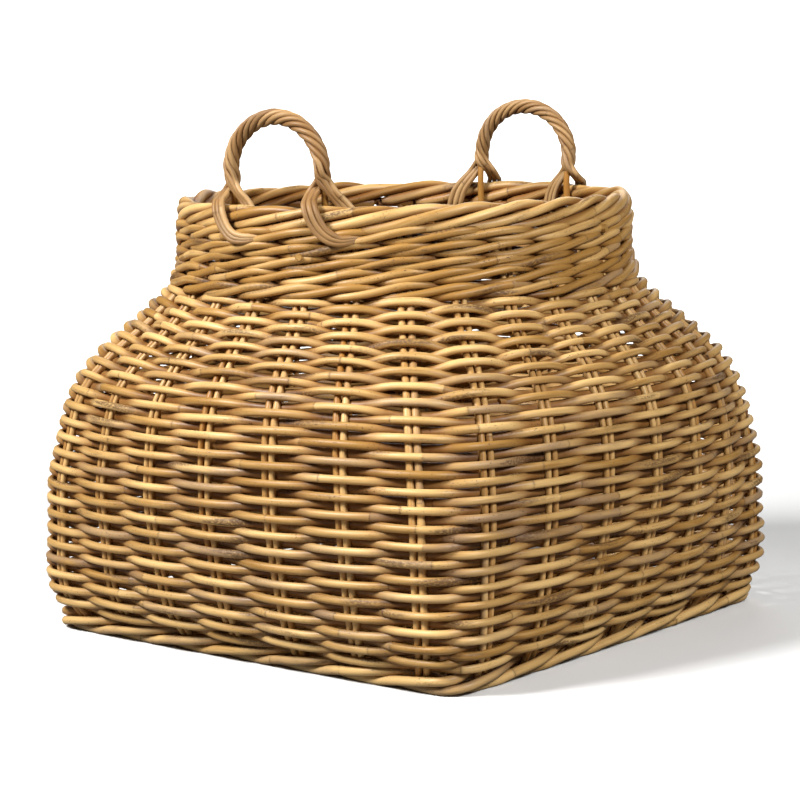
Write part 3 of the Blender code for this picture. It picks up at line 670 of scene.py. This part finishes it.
def cane_material(name, pale, deep, depth=0.5, specks=0.6, gloss=0.36, painted_shade=0.85):
    """Cane skin between a pale and a deep colour, with its bump and sheen."""
    if name in bpy.data.materials:
        return bpy.data.materials[name]
    colours = bpy.context.scene.basket_colours
    material = bpy.data.materials.new(name)
    material.use_nodes = True
    nodes, links = material.node_tree.nodes, material.node_tree.links
    shader = nodes["Principled BSDF"]
    shader.inputs["Specular IOR Level"].default_value = CANE_SPECULAR
    skin = nodes.new("ShaderNodeGroup")
    skin.node_tree = cane_skin_group()
    shades = {"Pale": pale, "Deep": deep, "Grey": colours.rose_grey, "Dark": colours.umber}
    for socket, colour in shades.items():
        skin.inputs[socket].default_value = (*colour, 1.0)
    for socket, value in {"Depth": depth, "Specks": specks, "Gloss": gloss, "Stain": painted_shade}.items():
        skin.inputs[socket].default_value = value
    bump = nodes.new("ShaderNodeBump")
    bump.inputs["Strength"].default_value = BUMP_STRENGTH
    bump.inputs["Distance"].default_value = BUMP_DISTANCE
    links.new(skin.outputs["Color"], shader.inputs["Base Color"])
    links.new(skin.outputs["Roughness"], shader.inputs["Roughness"])
    links.new(skin.outputs["Height"], bump.inputs["Height"])
    links.new(bump.outputs["Normal"], shader.inputs["Normal"])
    return material


class BASKET_OT_stakes(bpy.types.Operator):
    """Makes the pairs of upright canes"""
    bl_idname = "basket.stakes"
    bl_label = "Stakes"

    def execute(self, context):
        wall, canes, colours = settings(context)
        material = cane_material("stake_skin", colours.pale, colours.amber, depth=0.42, specks=0.35,
                                 painted_shade=0.6)
        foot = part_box("stake_pair_01")[0].z + canes.stake_radius
        heights = np.linspace(foot, wall.border_foot_height + STAKE_LAP, STAKE_POINTS)
        for pair in range(PAIRS):
            rng = np.random.default_rng(STAKE_SEED + pair)
            point, along, outward = wall_frame(wall, np.full(len(heights), pair + 0.5), heights)
            uprights = []
            for sign in (-1, 1):
                drift = STAKE_DRIFT * wander(heights, rng, STAKE_DRIFT_RUN)[:, None]
                path = point + along * (sign * canes.stake_offset + drift)
                # Painted shade on the stakes' sides, which lie under the weavers, and less on their faces
                uprights.append(cane(path, outward, canes.stake_radius * rng.uniform(0.9, 1.08), rng,
                                     joint_gap=0.34, grey_share=0.06, off=np.zeros(len(path)),
                                     clear=(-0.001, 0.004)))
            name = "stake_pair_%02d" % (pair + 1)
            put(woven_piece(name + "_canes", uprights, material), "ochre_cane", name)
        return {"FINISHED"}


class BASKET_OT_belly(bpy.types.Operator):
    """Weaves the belly: two canes chase each other, over one pair of stakes and behind the next"""
    bl_idname = "basket.belly"
    bl_label = "Belly canes"

    def execute(self, context):
        wall, canes, colours = settings(context)
        material = cane_material("weaver_skin", colours.pale, colours.honey, depth=0.46, specks=0.8)
        heights = row_heights(wall, canes)
        last = PAIRS * (len(heights) // 2)
        side = PAIRS_PER_SIDE
        number = 0
        for first_row, start, stop in ((0, 0, last - side // 2 - 1), (1, -(side // 2), last - side)):
            lengths = math.ceil((stop - start) / LONGEST_CANE_PAIRS)
            cuts = [start + 2 * round((stop - start) * cut / (2 * lengths)) for cut in range(lengths + 1)]
            for begin, end in zip(cuts[:-1], cuts[1:]):
                number += 1
                rng = np.random.default_rng(BELLY_SEED + number)
                name = "belly_cane_%02d" % number
                made = self.weaver(wall, canes, heights, first_row, begin, end, rng)
                put(woven_piece(name + "_round", made, material), "straw_cane", name)
        return {"FINISHED"}

    def weaver(self, wall, canes, heights, first_row, begin, end, rng):
        """A cane from one count to another, with two cut ends inside.

        It stands off the wall's middle by wave x swing. The wave mixes w = -cos (pi count) with
        sin (pi w / 2), so that the cane stays longer on each face.
        """
        counts = np.linspace(begin + BELLY_END_GAP, end - BELLY_END_GAP, POINTS_PER_PAIR * (end - begin) + 1)
        places = FIRST_PAIR + 0.5 + counts
        level = np.interp(first_row + 2 * climb(counts), np.arange(len(heights)), heights)
        # Where the rows lie farther apart along the wall, and on the far half, the canes are thicker
        far = np.clip(np.cos(2 * math.pi * (places / PAIRS - 0.5)), 0.0, 1.0)
        step = np.interp(level, heights[:-1], np.diff(heights)) / 2
        rise = wall_points(wall, places, level + step) - wall_points(wall, places, level - step)
        spread = np.clip(np.linalg.norm(rise, axis=-1) / canes.row_pitch, *SPREAD_SHARES)
        spread *= 1 + FAR_SWELL_SHARE * far
        level = level + sway(places, level)
        point, _, outward = wall_frame(wall, places, level)
        wave = -np.cos(math.pi * (counts + first_row))
        wave = (1 - SWING_SHARP_SHARE) * wave + SWING_SHARP_SHARE * np.sin(math.pi / 2 * wave)
        radius = canes.belly_radius * rng.uniform(0.97, 1.05)
        # Where the wall leans out, the canes step out almost level
        outward[:, 2] = np.where(outward[:, 2] < 0, LEAN_SHARE * outward[:, 2], outward[:, 2])
        outward = unit(outward)
        # The stakes give way to the canes, but not on the shoulder, where thinner canes arch over them
        shoulder = np.clip((outward[:, 2] - SHOULDER_START) / SHOULDER_SPAN, 0.0, 1.0)
        away = wave * (canes.stake_radius + BELLY_FLAT_SHARE * radius)
        away *= (SWING_SHARE + SHOULDER_SWING_SHARE * shoulder) * (1 - FAR_SWING_SHARE * far)
        back = SHOULDER_BACK_SHARE * np.maximum(-wave, 0.0)
        swell = spread * (1 - BACK_SWELL_SHARE * wave + shoulder * (back - SHOULDER_THIN_SHARE))
        path = point + outward * away[:, None]
        path[:, 2] += BELLY_RISE_CHANGE * wander(counts - counts[0], rng, BELLY_CHANGE_RUN)
        # Painted shade where the weaver lies near the wall's middle, behind and between the stakes
        one = cane(path, outward, radius, rng, thinness=BELLY_FLAT_SHARE, off=away, clear=(0.0, 0.0070),
                   tones=1.0, joint_gap=0.24, grey_share=0.22, swell=swell)
        middles = POINTS_PER_PAIR * rng.choice(end - begin, 2) + POINTS_PER_PAIR // 2
        ends = [cut_end(wall, places[at], level[at], False, canes.belly_radius, rng) for at in middles]
        return [one] + ends


def wale(wall, radius, stake_radius, counts, cane_number, height, rise, ease=0.5):
    """Path of one of three waling canes: two pairs outside, rising, then behind one.

    With t pairs from its start and x = 2 pi (t - 0.5) / 3, it stands off by off x (mean + first cos x +
    second cos 2x) + lean x sin x, and lies rise x sin x above its round.
    """
    x = 2 * math.pi * (counts - counts_start(cane_number) - 0.5) / 3
    off = stake_radius + radius
    mean, first, second = WALE_SWING_SHARES
    swing = off * (mean + first * np.cos(x) + second * np.cos(2 * x)) + WALE_LEAN * np.sin(x)
    level = height + rise * np.sin(x)
    point, _, outward = wall_frame(wall, FIRST_PAIR + 0.5 + counts, level, ease)
    return point + outward * swing[:, None], outward, swing


def counts_start(cane_number):
    """Where a waling cane starts, in pairs from the first one."""
    return cane_number - PAIRS_PER_SIDE // 2


class BASKET_OT_neck(bpy.types.Operator):
    """Wales the neck with three canes"""
    bl_idname = "basket.neck"
    bl_label = "Neck canes"

    def execute(self, context):
        wall, canes, colours = settings(context)
        material = cane_material("neck_skin", colours.pale, colours.honey, depth=0.84, specks=0.9)
        pitch = (wall.border_foot_height + NECK_LAP - wall.neck_foot_height) / WALE_ROUNDS
        for number in range(3):
            rng = np.random.default_rng(NECK_SEED + number)
            begin = counts_start(number) - NECK_END_LAP
            end = PAIRS * WALE_ROUNDS - PAIRS_PER_SIDE - 3 + number + NECK_END_LAP
            counts = np.linspace(begin, end, int((end - begin) * POINTS_PER_PAIR))
            height = wall.neck_foot_height + pitch * (climb(counts) + 0.5)
            height = height + NECK_SWAY_SHARE * sway(FIRST_PAIR + counts, height)
            height = height + NECK_RISE_CHANGE * wander(counts - counts[0], rng, NECK_RISE_RUN)
            path, outward, swing = wale(wall, canes.neck_radius, canes.stake_radius, counts, number, height,
                                        pitch * NECK_RISE_SHARE)
            path += outward * (NECK_OUT_CHANGE * wander(counts - counts[0], rng, NECK_OUT_RUN))[:, None]
            name = "neck_cane_%d" % (number + 1)
            swell = NECK_GIRTH + NECK_GIRTH_CHANGE * swing / swing.max()
            # Painted shade where the waling cane lies near the wall's middle, behind the stakes
            one = cane(path, outward, canes.neck_radius, rng, grey_share=0.12, tones=1.2, joint_gap=0.24,
                       off=swing, swell=swell, clear=(0.003, 0.0095))
            ends = [cut_end(wall, *spot, canes.neck_radius, rng) for spot in NECK_CUT_ENDS[number]]
            put(woven_piece(name + "_round", [one] + ends, material), "straw_cane", name)
        return {"FINISHED"}


def cut_end(wall, place, height, outside, radius, rng):
    """A short cane end that comes out between the canes: along the wall by run x (sin (pi u / 2) - 1) and
    away from its middle by reach x (1 - cos (pi u / 2)), with u from 0 to 1."""
    share = np.linspace(0.0, 1.0, CUT_END_POINTS) * math.pi / 2
    point, along, outward = wall_frame(wall, np.full(CUT_END_POINTS, place), np.full(CUT_END_POINTS, height))
    way = outward if outside else -outward
    away = CUT_END_REACH * (1 - np.cos(share))
    path = point + along * (CUT_END_RUN * (np.sin(share) - 1))[:, None] + way * away[:, None]
    # Painted shade where the cut end lies among the canes
    return cane(path, np.tile(UPWARD, (CUT_END_POINTS, 1)), radius * rng.uniform(0.85, 1.0), rng,
                joint_gap=0.5, grey_share=0.6, off=away, clear=(0.001, 0.008))


class BASKET_OT_foot(bpy.types.Operator):
    """Wales the foot with three thick canes and weaves the base inside it"""
    bl_idname = "basket.foot"
    bl_label = "Foot and base"

    def execute(self, context):
        wall, canes, colours = settings(context)
        # The foot's skin is set paler than the belly's, painted light that stands in for light its downward
        # face misses, and it gets less painted shade
        material = cane_material("foot_skin", colours.pale, colours.honey, depth=0.22, specks=0.8, painted_shade=0.5)
        strands = []
        for number in range(3):
            rng = np.random.default_rng(FOOT_SEED + number)
            begin = counts_start(number) - FOOT_START_LAP
            counts = np.linspace(begin, begin + PAIRS + FOOT_LAP, POINTS_PER_PAIR * (PAIRS + 3))
            height = np.full(len(counts), canes.foot_radius * FOOT_MIDDLE_SHARE)
            path, outward, swing = wale(wall, canes.foot_radius, canes.stake_radius, counts, number, height,
                                        canes.foot_radius * FOOT_RISE_SHARE, ease=FOOT_EASE)
            path[:, 2] = np.maximum(path[:, 2], canes.foot_radius * FOOT_FLOOR_SHARE)
            # Painted shade where the foot cane lies near the wall's middle, behind the stakes
            strands.append(cane(path, outward, canes.foot_radius, rng, grey_share=0.2, off=swing,
                                clear=(0.003, 0.010)))
        put(woven_piece("foot_canes", strands, material), "ochre_cane", "foot_wale")
        self.weave_base(colours)
        return {"FINISHED"}

    def weave_base(self, colours):
        """Plain weave: pairs of straight ribs along X, and flat weavers along Y that rise and fall by half a
        wave from rib to rib: height = middle + rise x sin (pi x ribs passed + pi x weaver), with its peaks
        made broader."""
        material = cane_material("base_skin", colours.honey, colours.amber, depth=0.6, specks=0.7)
        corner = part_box("base_mat")[1]
        half_length, half_width, top = corner.x - BASE_INSET, corner.y - BASE_INSET, corner.z
        rng = np.random.default_rng(BASE_SEED)
        rods = []
        ribs = 2 * PAIRS_PER_SIDE + 1
        rib_spacing = 2 * (half_width - RIB_INSET) / ribs
        rib_half_thickness = top / 2 - 2 * WEAVER_HALF_THICKNESS
        run = np.linspace(-half_length, half_length, RIB_POINTS)
        level = np.full(len(run), top / 2)
        for rib in range(ribs):
            middle = (rib + 0.5 - ribs / 2) * rib_spacing
            for side in (-1, 1):
                path = np.stack((run, np.full(len(run), middle + side * RIB_OFFSET), level), -1)
                rods.append(cane(path, np.tile(UPWARD, (len(run), 1)), RIB_RADIUS, rng, sides=8,
                                 thinness=rib_half_thickness / RIB_RADIUS))
        rise = top / 2 - WEAVER_SINK_SHARE * WEAVER_HALF_THICKNESS
        weavers = 2 * int(half_length / WEAVER_SPACING)
        for weaver in range(weavers):
            at = half_length * (2 * (weaver + 0.5) / weavers - 1)
            reach = min(half_width, half_length + half_width - BASE_CORNER_CUT - abs(at))
            run = np.linspace(-reach, reach, ribs * WEAVER_POINTS_PER_RIB + 1)
            wave = np.sin(math.pi * (run / rib_spacing + ribs / 2 + weaver))
            wave = (1 + WEAVER_BROAD_SHARE) * wave - WEAVER_BROAD_SHARE * wave ** 3
            path = np.stack((np.full(len(run), at), run, top / 2 + wave * rise), -1)
            rods.append(cane(path, np.tile(UPWARD, (len(run), 1)), WEAVER_RADIUS, rng, sides=6,
                             thinness=WEAVER_HALF_THICKNESS / WEAVER_RADIUS))
        put(woven_piece("base_weave", rods, material), "dark_cane", "base_mat")


class BASKET_OT_border(bpy.types.Operator):
    """Rolls the border from one thick cane for each pair of stakes"""
    bl_idname = "basket.border"
    bl_label = "Rolled border"

    def execute(self, context):
        wall, canes, colours = settings(context)
        material = cane_material("border_skin", colours.pale, colours.honey, depth=0.54, specks=0.8)
        low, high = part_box("rim_border")
        depth = (high.x - wall.neck_radius) - canes.border_radius
        rise = (high.z - low.z) / 2 - canes.border_radius
        middle = (high.z + low.z) / 2
        rolled = []
        for pair in range(PAIRS):
            rng = np.random.default_rng(BORDER_SEED + pair)
            # Each cane starts low outside, passes over the rim and ends low inside
            turn = np.radians(np.linspace(*BORDER_TURNS, BORDER_POINTS))
            turn += rng.normal(0.0, BORDER_START_CHANGE)
            place = pair + 0.5 + (turn + math.pi / 2) / (2 * math.pi) * BORDER_SPAN_PAIRS
            azimuth = (place / PAIRS_PER_SIDE - 0.5) * math.pi / 2
            swell = 1 + BORDER_SWELL_SHARE * wander(turn - turn[0], rng, BORDER_SWELL_RUN)
            hump = rng.uniform(*BORDER_HUMPS) * np.exp(-((turn - BORDER_HUMP_TURN) / BORDER_HUMP_WIDTH) ** 2)
            radius = wall.neck_radius + depth * np.cos(turn) * swell
            height = middle + rise * np.sin(turn) * swell + hump
            path = np.stack((radius * np.cos(azimuth), radius * np.sin(azimuth), height), -1)
            level = np.cos(turn)
            outward = np.stack((level * np.cos(azimuth), level * np.sin(azimuth), np.sin(turn)), -1)
            # The side towards the inside counts as nearer the middle, so it gets more painted shade
            off = depth * (1 + BORDER_INSIDE_SHARE * np.minimum(level, 0.0))
            rolled.append(cane(path, outward, canes.border_radius * rng.uniform(0.86, 1.12), rng, sides=12,
                               joint_gap=0.34, grey_share=0.12, tones=1.3, taper=(0.7, 0.6), off=off,
                               clear=(0.0040, 0.0085)))
        put(woven_piece("rolled_border", rolled, material), "straw_cane", "rim_border")
        return {"FINISHED"}


def rounded_path(points, steps):
    """Smooth curve through points: cubic pieces by chord length, whose slopes come from both neighbours."""
    points = np.asarray(points, float)
    run = run_along(points)
    slopes = np.gradient(points, run, axis=0)
    chord = np.diff(run)[:, None, None]
    share = np.linspace(0.0, 1.0, steps, endpoint=False)[None, :, None]
    start, end = points[:-1, None], points[1:, None]
    curve = (2 * share ** 3 - 3 * share ** 2 + 1) * start + (3 * share ** 2 - 2 * share ** 3) * end
    curve += ((share ** 3 - 2 * share ** 2 + share) * slopes[:-1, None]
              + (share ** 3 - share ** 2) * slopes[1:, None]) * chord
    return np.concatenate((curve.reshape(-1, points.shape[1]), points[-1:]))


def around_axis(azimuth, places):
    """Points from (radius, tangent, height) rows, where the tangent runs along the handle's plane."""
    radius, tangent, height = np.asarray(places, float).T
    depth = np.sqrt(radius ** 2 - tangent ** 2)
    return np.stack((depth * math.cos(azimuth) - tangent * math.sin(azimuth),
                     depth * math.sin(azimuth) + tangent * math.cos(azimuth), height), -1)


def even_steps(path, step):
    """The same path with points a step apart."""
    run = run_along(path)
    return carried(np.linspace(0.0, run[-1], int(run[-1] / step) + 2), run, path)


class BASKET_OT_handles(bpy.types.Operator):
    """Twists both handles round their bows and splays the strands at their feet"""
    bl_idname = "basket.handles"
    bl_label = "Handles"

    def execute(self, context):
        handles = context.scene.basket_handles
        quarter = math.pi / 2
        self.make_handle(context, "front_handle", handles.front_turn - quarter, handles.front_width,
                         handles.front_foot_spacing, FRONT_HANDLE_SEED)
        self.make_handle(context, "back_handle", handles.back_turn + quarter, handles.back_width,
                         handles.back_foot_spacing, BACK_HANDLE_SEED)
        return {"FINISHED"}

    def make_handle(self, context, name, azimuth, width, spacing, seed):
        wall, colours = context.scene.basket_wall, context.scene.basket_colours
        handles = context.scene.basket_handles
        rng = np.random.default_rng(seed)
        border_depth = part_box("rim_border")[1].x - wall.neck_radius
        leg = wall.neck_radius - border_depth - handles.bow_radius - BOW_GAP
        crown = leg + handles.bow_radius
        crown_height = handles.top_height - handles.rope_radius - handles.crown_rise
        depth = math.sqrt(crown ** 2 - (width / 2) ** 2)
        turns = np.linspace(0.0, math.pi, CROWN_POINTS)
        loop = [(math.hypot(depth, width / 2 * math.cos(turn)), -width / 2 * math.cos(turn),
                 crown_height + handles.crown_rise * math.sin(turn)) for turn in turns]
        heights = [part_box(name + "_bow")[0].z, wall.rim_height - BOW_DROP, wall.rim_height + BOW_RISE]
        left, right = -spacing / 2, spacing / 2
        bow = ([(leg, left, height) for height in heights] + loop
               + [(leg, right, height) for height in reversed(heights)])
        bow_path = even_steps(around_axis(azimuth, rounded_path(bow, 8)), BOW_STEP)
        outward = np.tile((math.cos(azimuth), math.sin(azimuth), 0.0), (len(bow_path), 1))
        bow_skin = cane_material("bow_skin", colours.honey, colours.amber, depth=0.7, specks=0.3)
        put(woven_piece(name + "_bow_cane", [cane(bow_path, outward, handles.bow_radius, rng)], bow_skin),
            "ochre_cane", name + "_bow")
        lean = handles.bow_radius * BOW_LEAN_SHARE
        split = ([(leg + lean, left, wall.rim_height + SPLIT_RISES[0])] + loop
                 + [(leg + lean, right, wall.rim_height + SPLIT_RISES[1])])
        middle = even_steps(around_axis(azimuth, rounded_path(split, 8)), ROPE_STEP)
        strands = self.strands(wall, handles, azimuth, middle, (left, right), rng)
        rope_skin = cane_material("rope_skin", colours.handle_pale, colours.handle_deep, depth=0.45,
                                  specks=0.4, gloss=0.42)
        put(woven_piece(name + "_strands", strands, rope_skin), "grey_tan_cane", name + "_roping")

    def strands(self, wall, handles, azimuth, middle, feet, rng):
        """Strands on a helix round the bow: middle + r (cos p x facing + sin p x outer edge), where p grows
        evenly from the left foot to the right one. Each runs out into a tail at both feet."""
        heading = unit(np.gradient(middle, axis=0))
        facing = np.tile((math.cos(azimuth), math.sin(azimuth), 0.0), (len(middle), 1))
        facing = square_to(facing, heading)
        edge = np.cross(facing, heading)
        run = run_along(middle)
        step = 2 * math.pi / ROPE_STRANDS
        twist = step * round(2 * math.pi * run[-1] / handles.lay_length / step)
        helix = handles.rope_radius - handles.strand_radius
        phases = step * np.arange(ROPE_STRANDS)[:, None] + twist * run / run[-1]
        orders = [self.order(phases[:, 0], -1), self.order(phases[:, -1], 1)]
        made = []
        for number in range(ROPE_STRANDS):
            phase = phases[number]
            points = middle + helix * (np.cos(phase)[:, None] * facing + np.sin(phase)[:, None] * edge)
            ends = [self.tail(wall, azimuth, foot, math.cos(phase[at]) < 0, order[number])
                    for foot, at, order in zip(feet, (0, -1), orders)]
            knots = np.concatenate((ends[0][::-1], points[1:-1:3], ends[1]))
            path = even_steps(rounded_path(knots, 6), STRAND_STEP)
            radius = handles.strand_radius * rng.uniform(0.95, 1.06)
            one = cane(path, self.rope_facing(path, azimuth), radius, rng, sides=10, joint_gap=0.45,
                       grey_share=0.20, taper=(0.25, 0.25))
            # Painted shade on the strands' sides that lie deep in the rope, near its middle
            apart = np.linalg.norm(one["rings"][:, :, None] - middle[None, None, ::2], axis=-1).min(-1)
            one["hidden"] = np.clip((ROPE_CLEAR - apart) / (ROPE_CLEAR - ROPE_DARK), 0.0, 1.0)
            made.append(one)
        return made

    def rope_facing(self, path, azimuth):
        """Facing for a strand: away from the basket's axis, tipped up, so it is never along the strand."""
        tipped = np.array((math.cos(azimuth), math.sin(azimuth), 0.15))
        return np.tile(tipped, (len(path), 1))

    def order(self, phases, side):
        """Each strand's place in its group of three at a foot, -1, 0 or 1 from left to right."""
        across = side * np.sin(phases)
        behind = np.cos(phases) < 0
        places = np.zeros(len(phases))
        for group in (behind, ~behind):
            members = np.flatnonzero(group)
            places[members[np.argsort(across[members])]] = np.arange(len(members)) - (len(members) - 1) / 2
        return places

    def tail(self, wall, azimuth, foot, outside, place):
        """Points of a strand below the rope's foot: metres from the border's middle, and millimetres along
        the wall from the foot and above the rim.

        The strands behind the bow come out on its left, pass over the border and turn right under it. Those
        before the bow go down on its right, inside the border.
        """
        top = wall.rim_height
        lift, reach = TAIL_LIFTS[foot > 0], TAIL_REACHES[foot > 0]
        bent = place ** 2
        if outside:
            rows = [
                (-0.0161 - 0.0028 * place + 0.0021 * bent, -3.3 + 3.7 * place + 1.6 * bent, 19.5 + lift),
                (-0.0085, -7.5 + 4.3 * place, 10.5 + lift / 2), (0.0010, -5.0 + 4.7 * place, 5.0),
                (0.0108, 1.0 + 5.6 * place, 1.0), (0.0152, 6.0 + 6.0 * place, -7.0),
                (0.0157, 10.0 + 5.8 * place, -15.0 + 0.5 * place),
                (0.0157, 16.5 + 4.6 * place, -24.0 + 2.0 * place),
                (0.0150, 25.0 + 2.6 * place, -30.5 + 3.4 * place),
                (0.0132, 18.0 + 18.0 * reach, -32.6 + 3.0 * place),
                (0.0105, 18.0 + 28.0 * reach, -32.2 + 2.2 * place),
                (0.0070, 18.0 + 36.0 * reach, -31.0 + 1.4 * place),
                (0.0035, 18.0 + 41.0 * reach, -29.8 + place),
            ]
        else:
            rows = [
                (-0.0079 - 0.0019 * place - 0.0014 * bent, 3.5 + 3.85 * place - 1.45 * bent, 19.5 + lift),
                (-0.0108, 9.5 + 4.4 * place, 10.0 + lift / 2), (-0.0140, 16.5 + 5.2 * place, 1.5),
                (-0.0145, 23.0 + 5.6 * place, -8.0), (-0.0142, 28.0 + 5.6 * place, -22.0),
                (-0.0130, 32.0 + 5.4 * place, -36.0),
            ]
        return around_axis(azimuth, [(wall.neck_radius + out, foot + across / MILLIMETRES,
                                      top + up / MILLIMETRES) for out, across, up in rows])


class BASKET_OT_stage(bpy.types.Operator):
    """Sets the floor with its cove, the lights and the camera"""
    bl_idname = "basket.stage"
    bl_label = "Stage"

    def execute(self, context):
        stage = context.scene.basket_stage
        self.cove(stage)
        self.lights(context, stage)
        self.camera(context)
        return {"FINISHED"}

    def cove(self, stage):
        """Floor that curves up behind: a line, a quarter round and a line, carried sideways."""
        turn = np.linspace(0.0, math.pi / 2, COVE_CURVE_POINTS)
        curve = COVE_CURVE + COVE_RADIUS * np.sin(turn)
        out = np.concatenate(((COVE_START, COVE_MIDDLE), curve, (COVE_CURVE + COVE_RADIUS,)))
        up = np.concatenate(((0.0, 0.0), COVE_RADIUS - COVE_RADIUS * np.cos(turn), (COVE_TOP,)))
        across = np.linspace(-COVE_HALF_WIDTH, COVE_HALF_WIDTH, COVE_COLUMNS)
        view = Vector(VIEW_FROM).normalized()
        ahead, aside = np.array((-view.x, -view.y)), np.array((-view.y, view.x))
        plan = out[:, None, None] * ahead + across[None, :, None] * aside
        points = np.concatenate((plan, np.broadcast_to(up[:, None, None], plan.shape[:2] + (1,))), -1)
        rows, columns = points.shape[:2]
        at = np.arange(rows * columns).reshape(rows, columns)
        quads = np.stack((at[:-1, :-1], at[:-1, 1:], at[1:, 1:], at[1:, :-1]), -1).reshape(-1, 4)
        mesh = bpy.data.meshes.new("studio_cove")
        mesh.from_pydata(points.reshape(-1, 3).tolist(), [], quads.tolist())
        mesh.polygons.foreach_set("use_smooth", np.ones(len(quads), bool))
        material = bpy.data.materials.new("studio_cove")
        material.use_nodes = True
        shader = material.node_tree.nodes["Principled BSDF"]
        shader.inputs["Roughness"].default_value = COVE_ROUGHNESS
        shader.inputs["Specular IOR Level"].default_value = COVE_SPECULAR
        # The camera sees the cove pale, while it throws less light up at the basket
        path = material.node_tree.nodes.new("ShaderNodeLightPath")
        mix = material.node_tree.nodes.new("ShaderNodeMix")
        mix.data_type = "RGBA"
        mix.inputs["A"].default_value = (*(value * stage.bounce for value in stage.backdrop), 1.0)
        mix.inputs["B"].default_value = (*stage.backdrop, 1.0)
        material.node_tree.links.new(path.outputs["Is Camera Ray"], mix.inputs["Factor"])
        material.node_tree.links.new(mix.outputs["Result"], shader.inputs["Base Color"])
        mesh.materials.append(material)
        cove = bpy.data.objects.new("studio_cove", mesh)
        bpy.context.scene.collection.objects.link(cove)

    def lights(self, context, stage):
        world = bpy.data.worlds.new("studio_room")
        world.use_nodes = True
        background = world.node_tree.nodes["Background"]
        background.inputs["Color"].default_value = (1.0, 1.0, 1.0, 1.0)
        seen = world.node_tree.nodes.new("ShaderNodeLightPath")
        strength = world.node_tree.nodes.new("ShaderNodeMapRange")
        strength.inputs["To Min"].default_value = stage.sky
        strength.inputs["To Max"].default_value = stage.horizon
        world.node_tree.links.new(seen.outputs["Is Camera Ray"], strength.inputs["Value"])
        world.node_tree.links.new(strength.outputs["Result"], background.inputs["Strength"])
        context.scene.world = world
        context.scene.view_settings.view_transform = "Standard"
        for name, place, target, size, power in LIGHTS:
            lamp = bpy.data.lights.new(name, "AREA")
            lamp.shape = "DISK"
            lamp.size = size
            lamp.energy = getattr(stage, power)
            light = bpy.data.objects.new(name, lamp)
            light.location = place
            light.rotation_euler = (Vector(target) - Vector(place)).to_track_quat("-Z", "Y").to_euler()
            context.scene.collection.objects.link(light)

    def camera(self, context):
        """Camera on the line from its target towards VIEW_FROM, tipped by its roll about that line."""
        lens = bpy.data.cameras.new("photo_camera")
        lens.sensor_width = SENSOR_WIDTH
        lens.lens = LENS_LENGTH
        lens.clip_end = VIEW_REACH
        camera = bpy.data.objects.new("photo_camera", lens)
        away = Vector(VIEW_FROM).normalized()
        aside = Vector(UPWARD).cross(away).normalized()
        above = away.cross(aside)
        right = aside * math.cos(VIEW_ROLL) - above * math.sin(VIEW_ROLL)
        top = above * math.cos(VIEW_ROLL) + aside * math.sin(VIEW_ROLL)
        turned = Matrix((right, top, away)).transposed().to_4x4()
        camera.matrix_world = Matrix.Translation(Vector(VIEW_TARGET) + away * VIEW_DISTANCE) @ turned
        context.scene.collection.objects.link(camera)
        context.scene.camera = camera


class BASKET_PT_panel(bpy.types.Panel):
    """Lists the basket's operators and sizes"""
    bl_idname = "BASKET_PT_panel"
    bl_label = "Belly Basket"
    bl_space_type = "VIEW_3D"
    bl_region_type = "UI"
    bl_category = "Basket"

    def draw(self, context):
        column = self.layout.column(align=True)
        for operator in OPERATORS:
            column.operator(operator.bl_idname)
        for group in GROUPS:
            box = self.layout.box()
            box.label(text=group.__doc__)
            held = getattr(context.scene, GROUPS[group])
            for name in group.__annotations__:
                box.prop(held, name)


GROUPS = {
    WallSettings: "basket_wall",
    CaneSettings: "basket_canes",
    HandleSettings: "basket_handles",
    ColourSettings: "basket_colours",
    StageSettings: "basket_stage",
}
OPERATORS = (
    BASKET_OT_stakes, BASKET_OT_belly, BASKET_OT_neck, BASKET_OT_foot, BASKET_OT_border, BASKET_OT_handles,
    BASKET_OT_stage,
)


def register():
    for group, name in GROUPS.items():
        bpy.utils.register_class(group)
        setattr(bpy.types.Scene, name, PointerProperty(type=group))
    for made in (*OPERATORS, BASKET_PT_panel):
        bpy.utils.register_class(made)


def unregister():
    for made in (BASKET_PT_panel, *reversed(OPERATORS)):
        bpy.utils.unregister_class(made)
    for group, name in reversed(tuple(GROUPS.items())):
        delattr(bpy.types.Scene, name)
        bpy.utils.unregister_class(group)


def main():
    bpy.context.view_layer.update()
    register()
    bpy.ops.basket.stakes()
    bpy.ops.basket.belly()
    bpy.ops.basket.neck()
    bpy.ops.basket.foot()
    bpy.ops.basket.border()
    bpy.ops.basket.handles()
    bpy.ops.basket.stage()


if __name__ == "__main__":
    main()
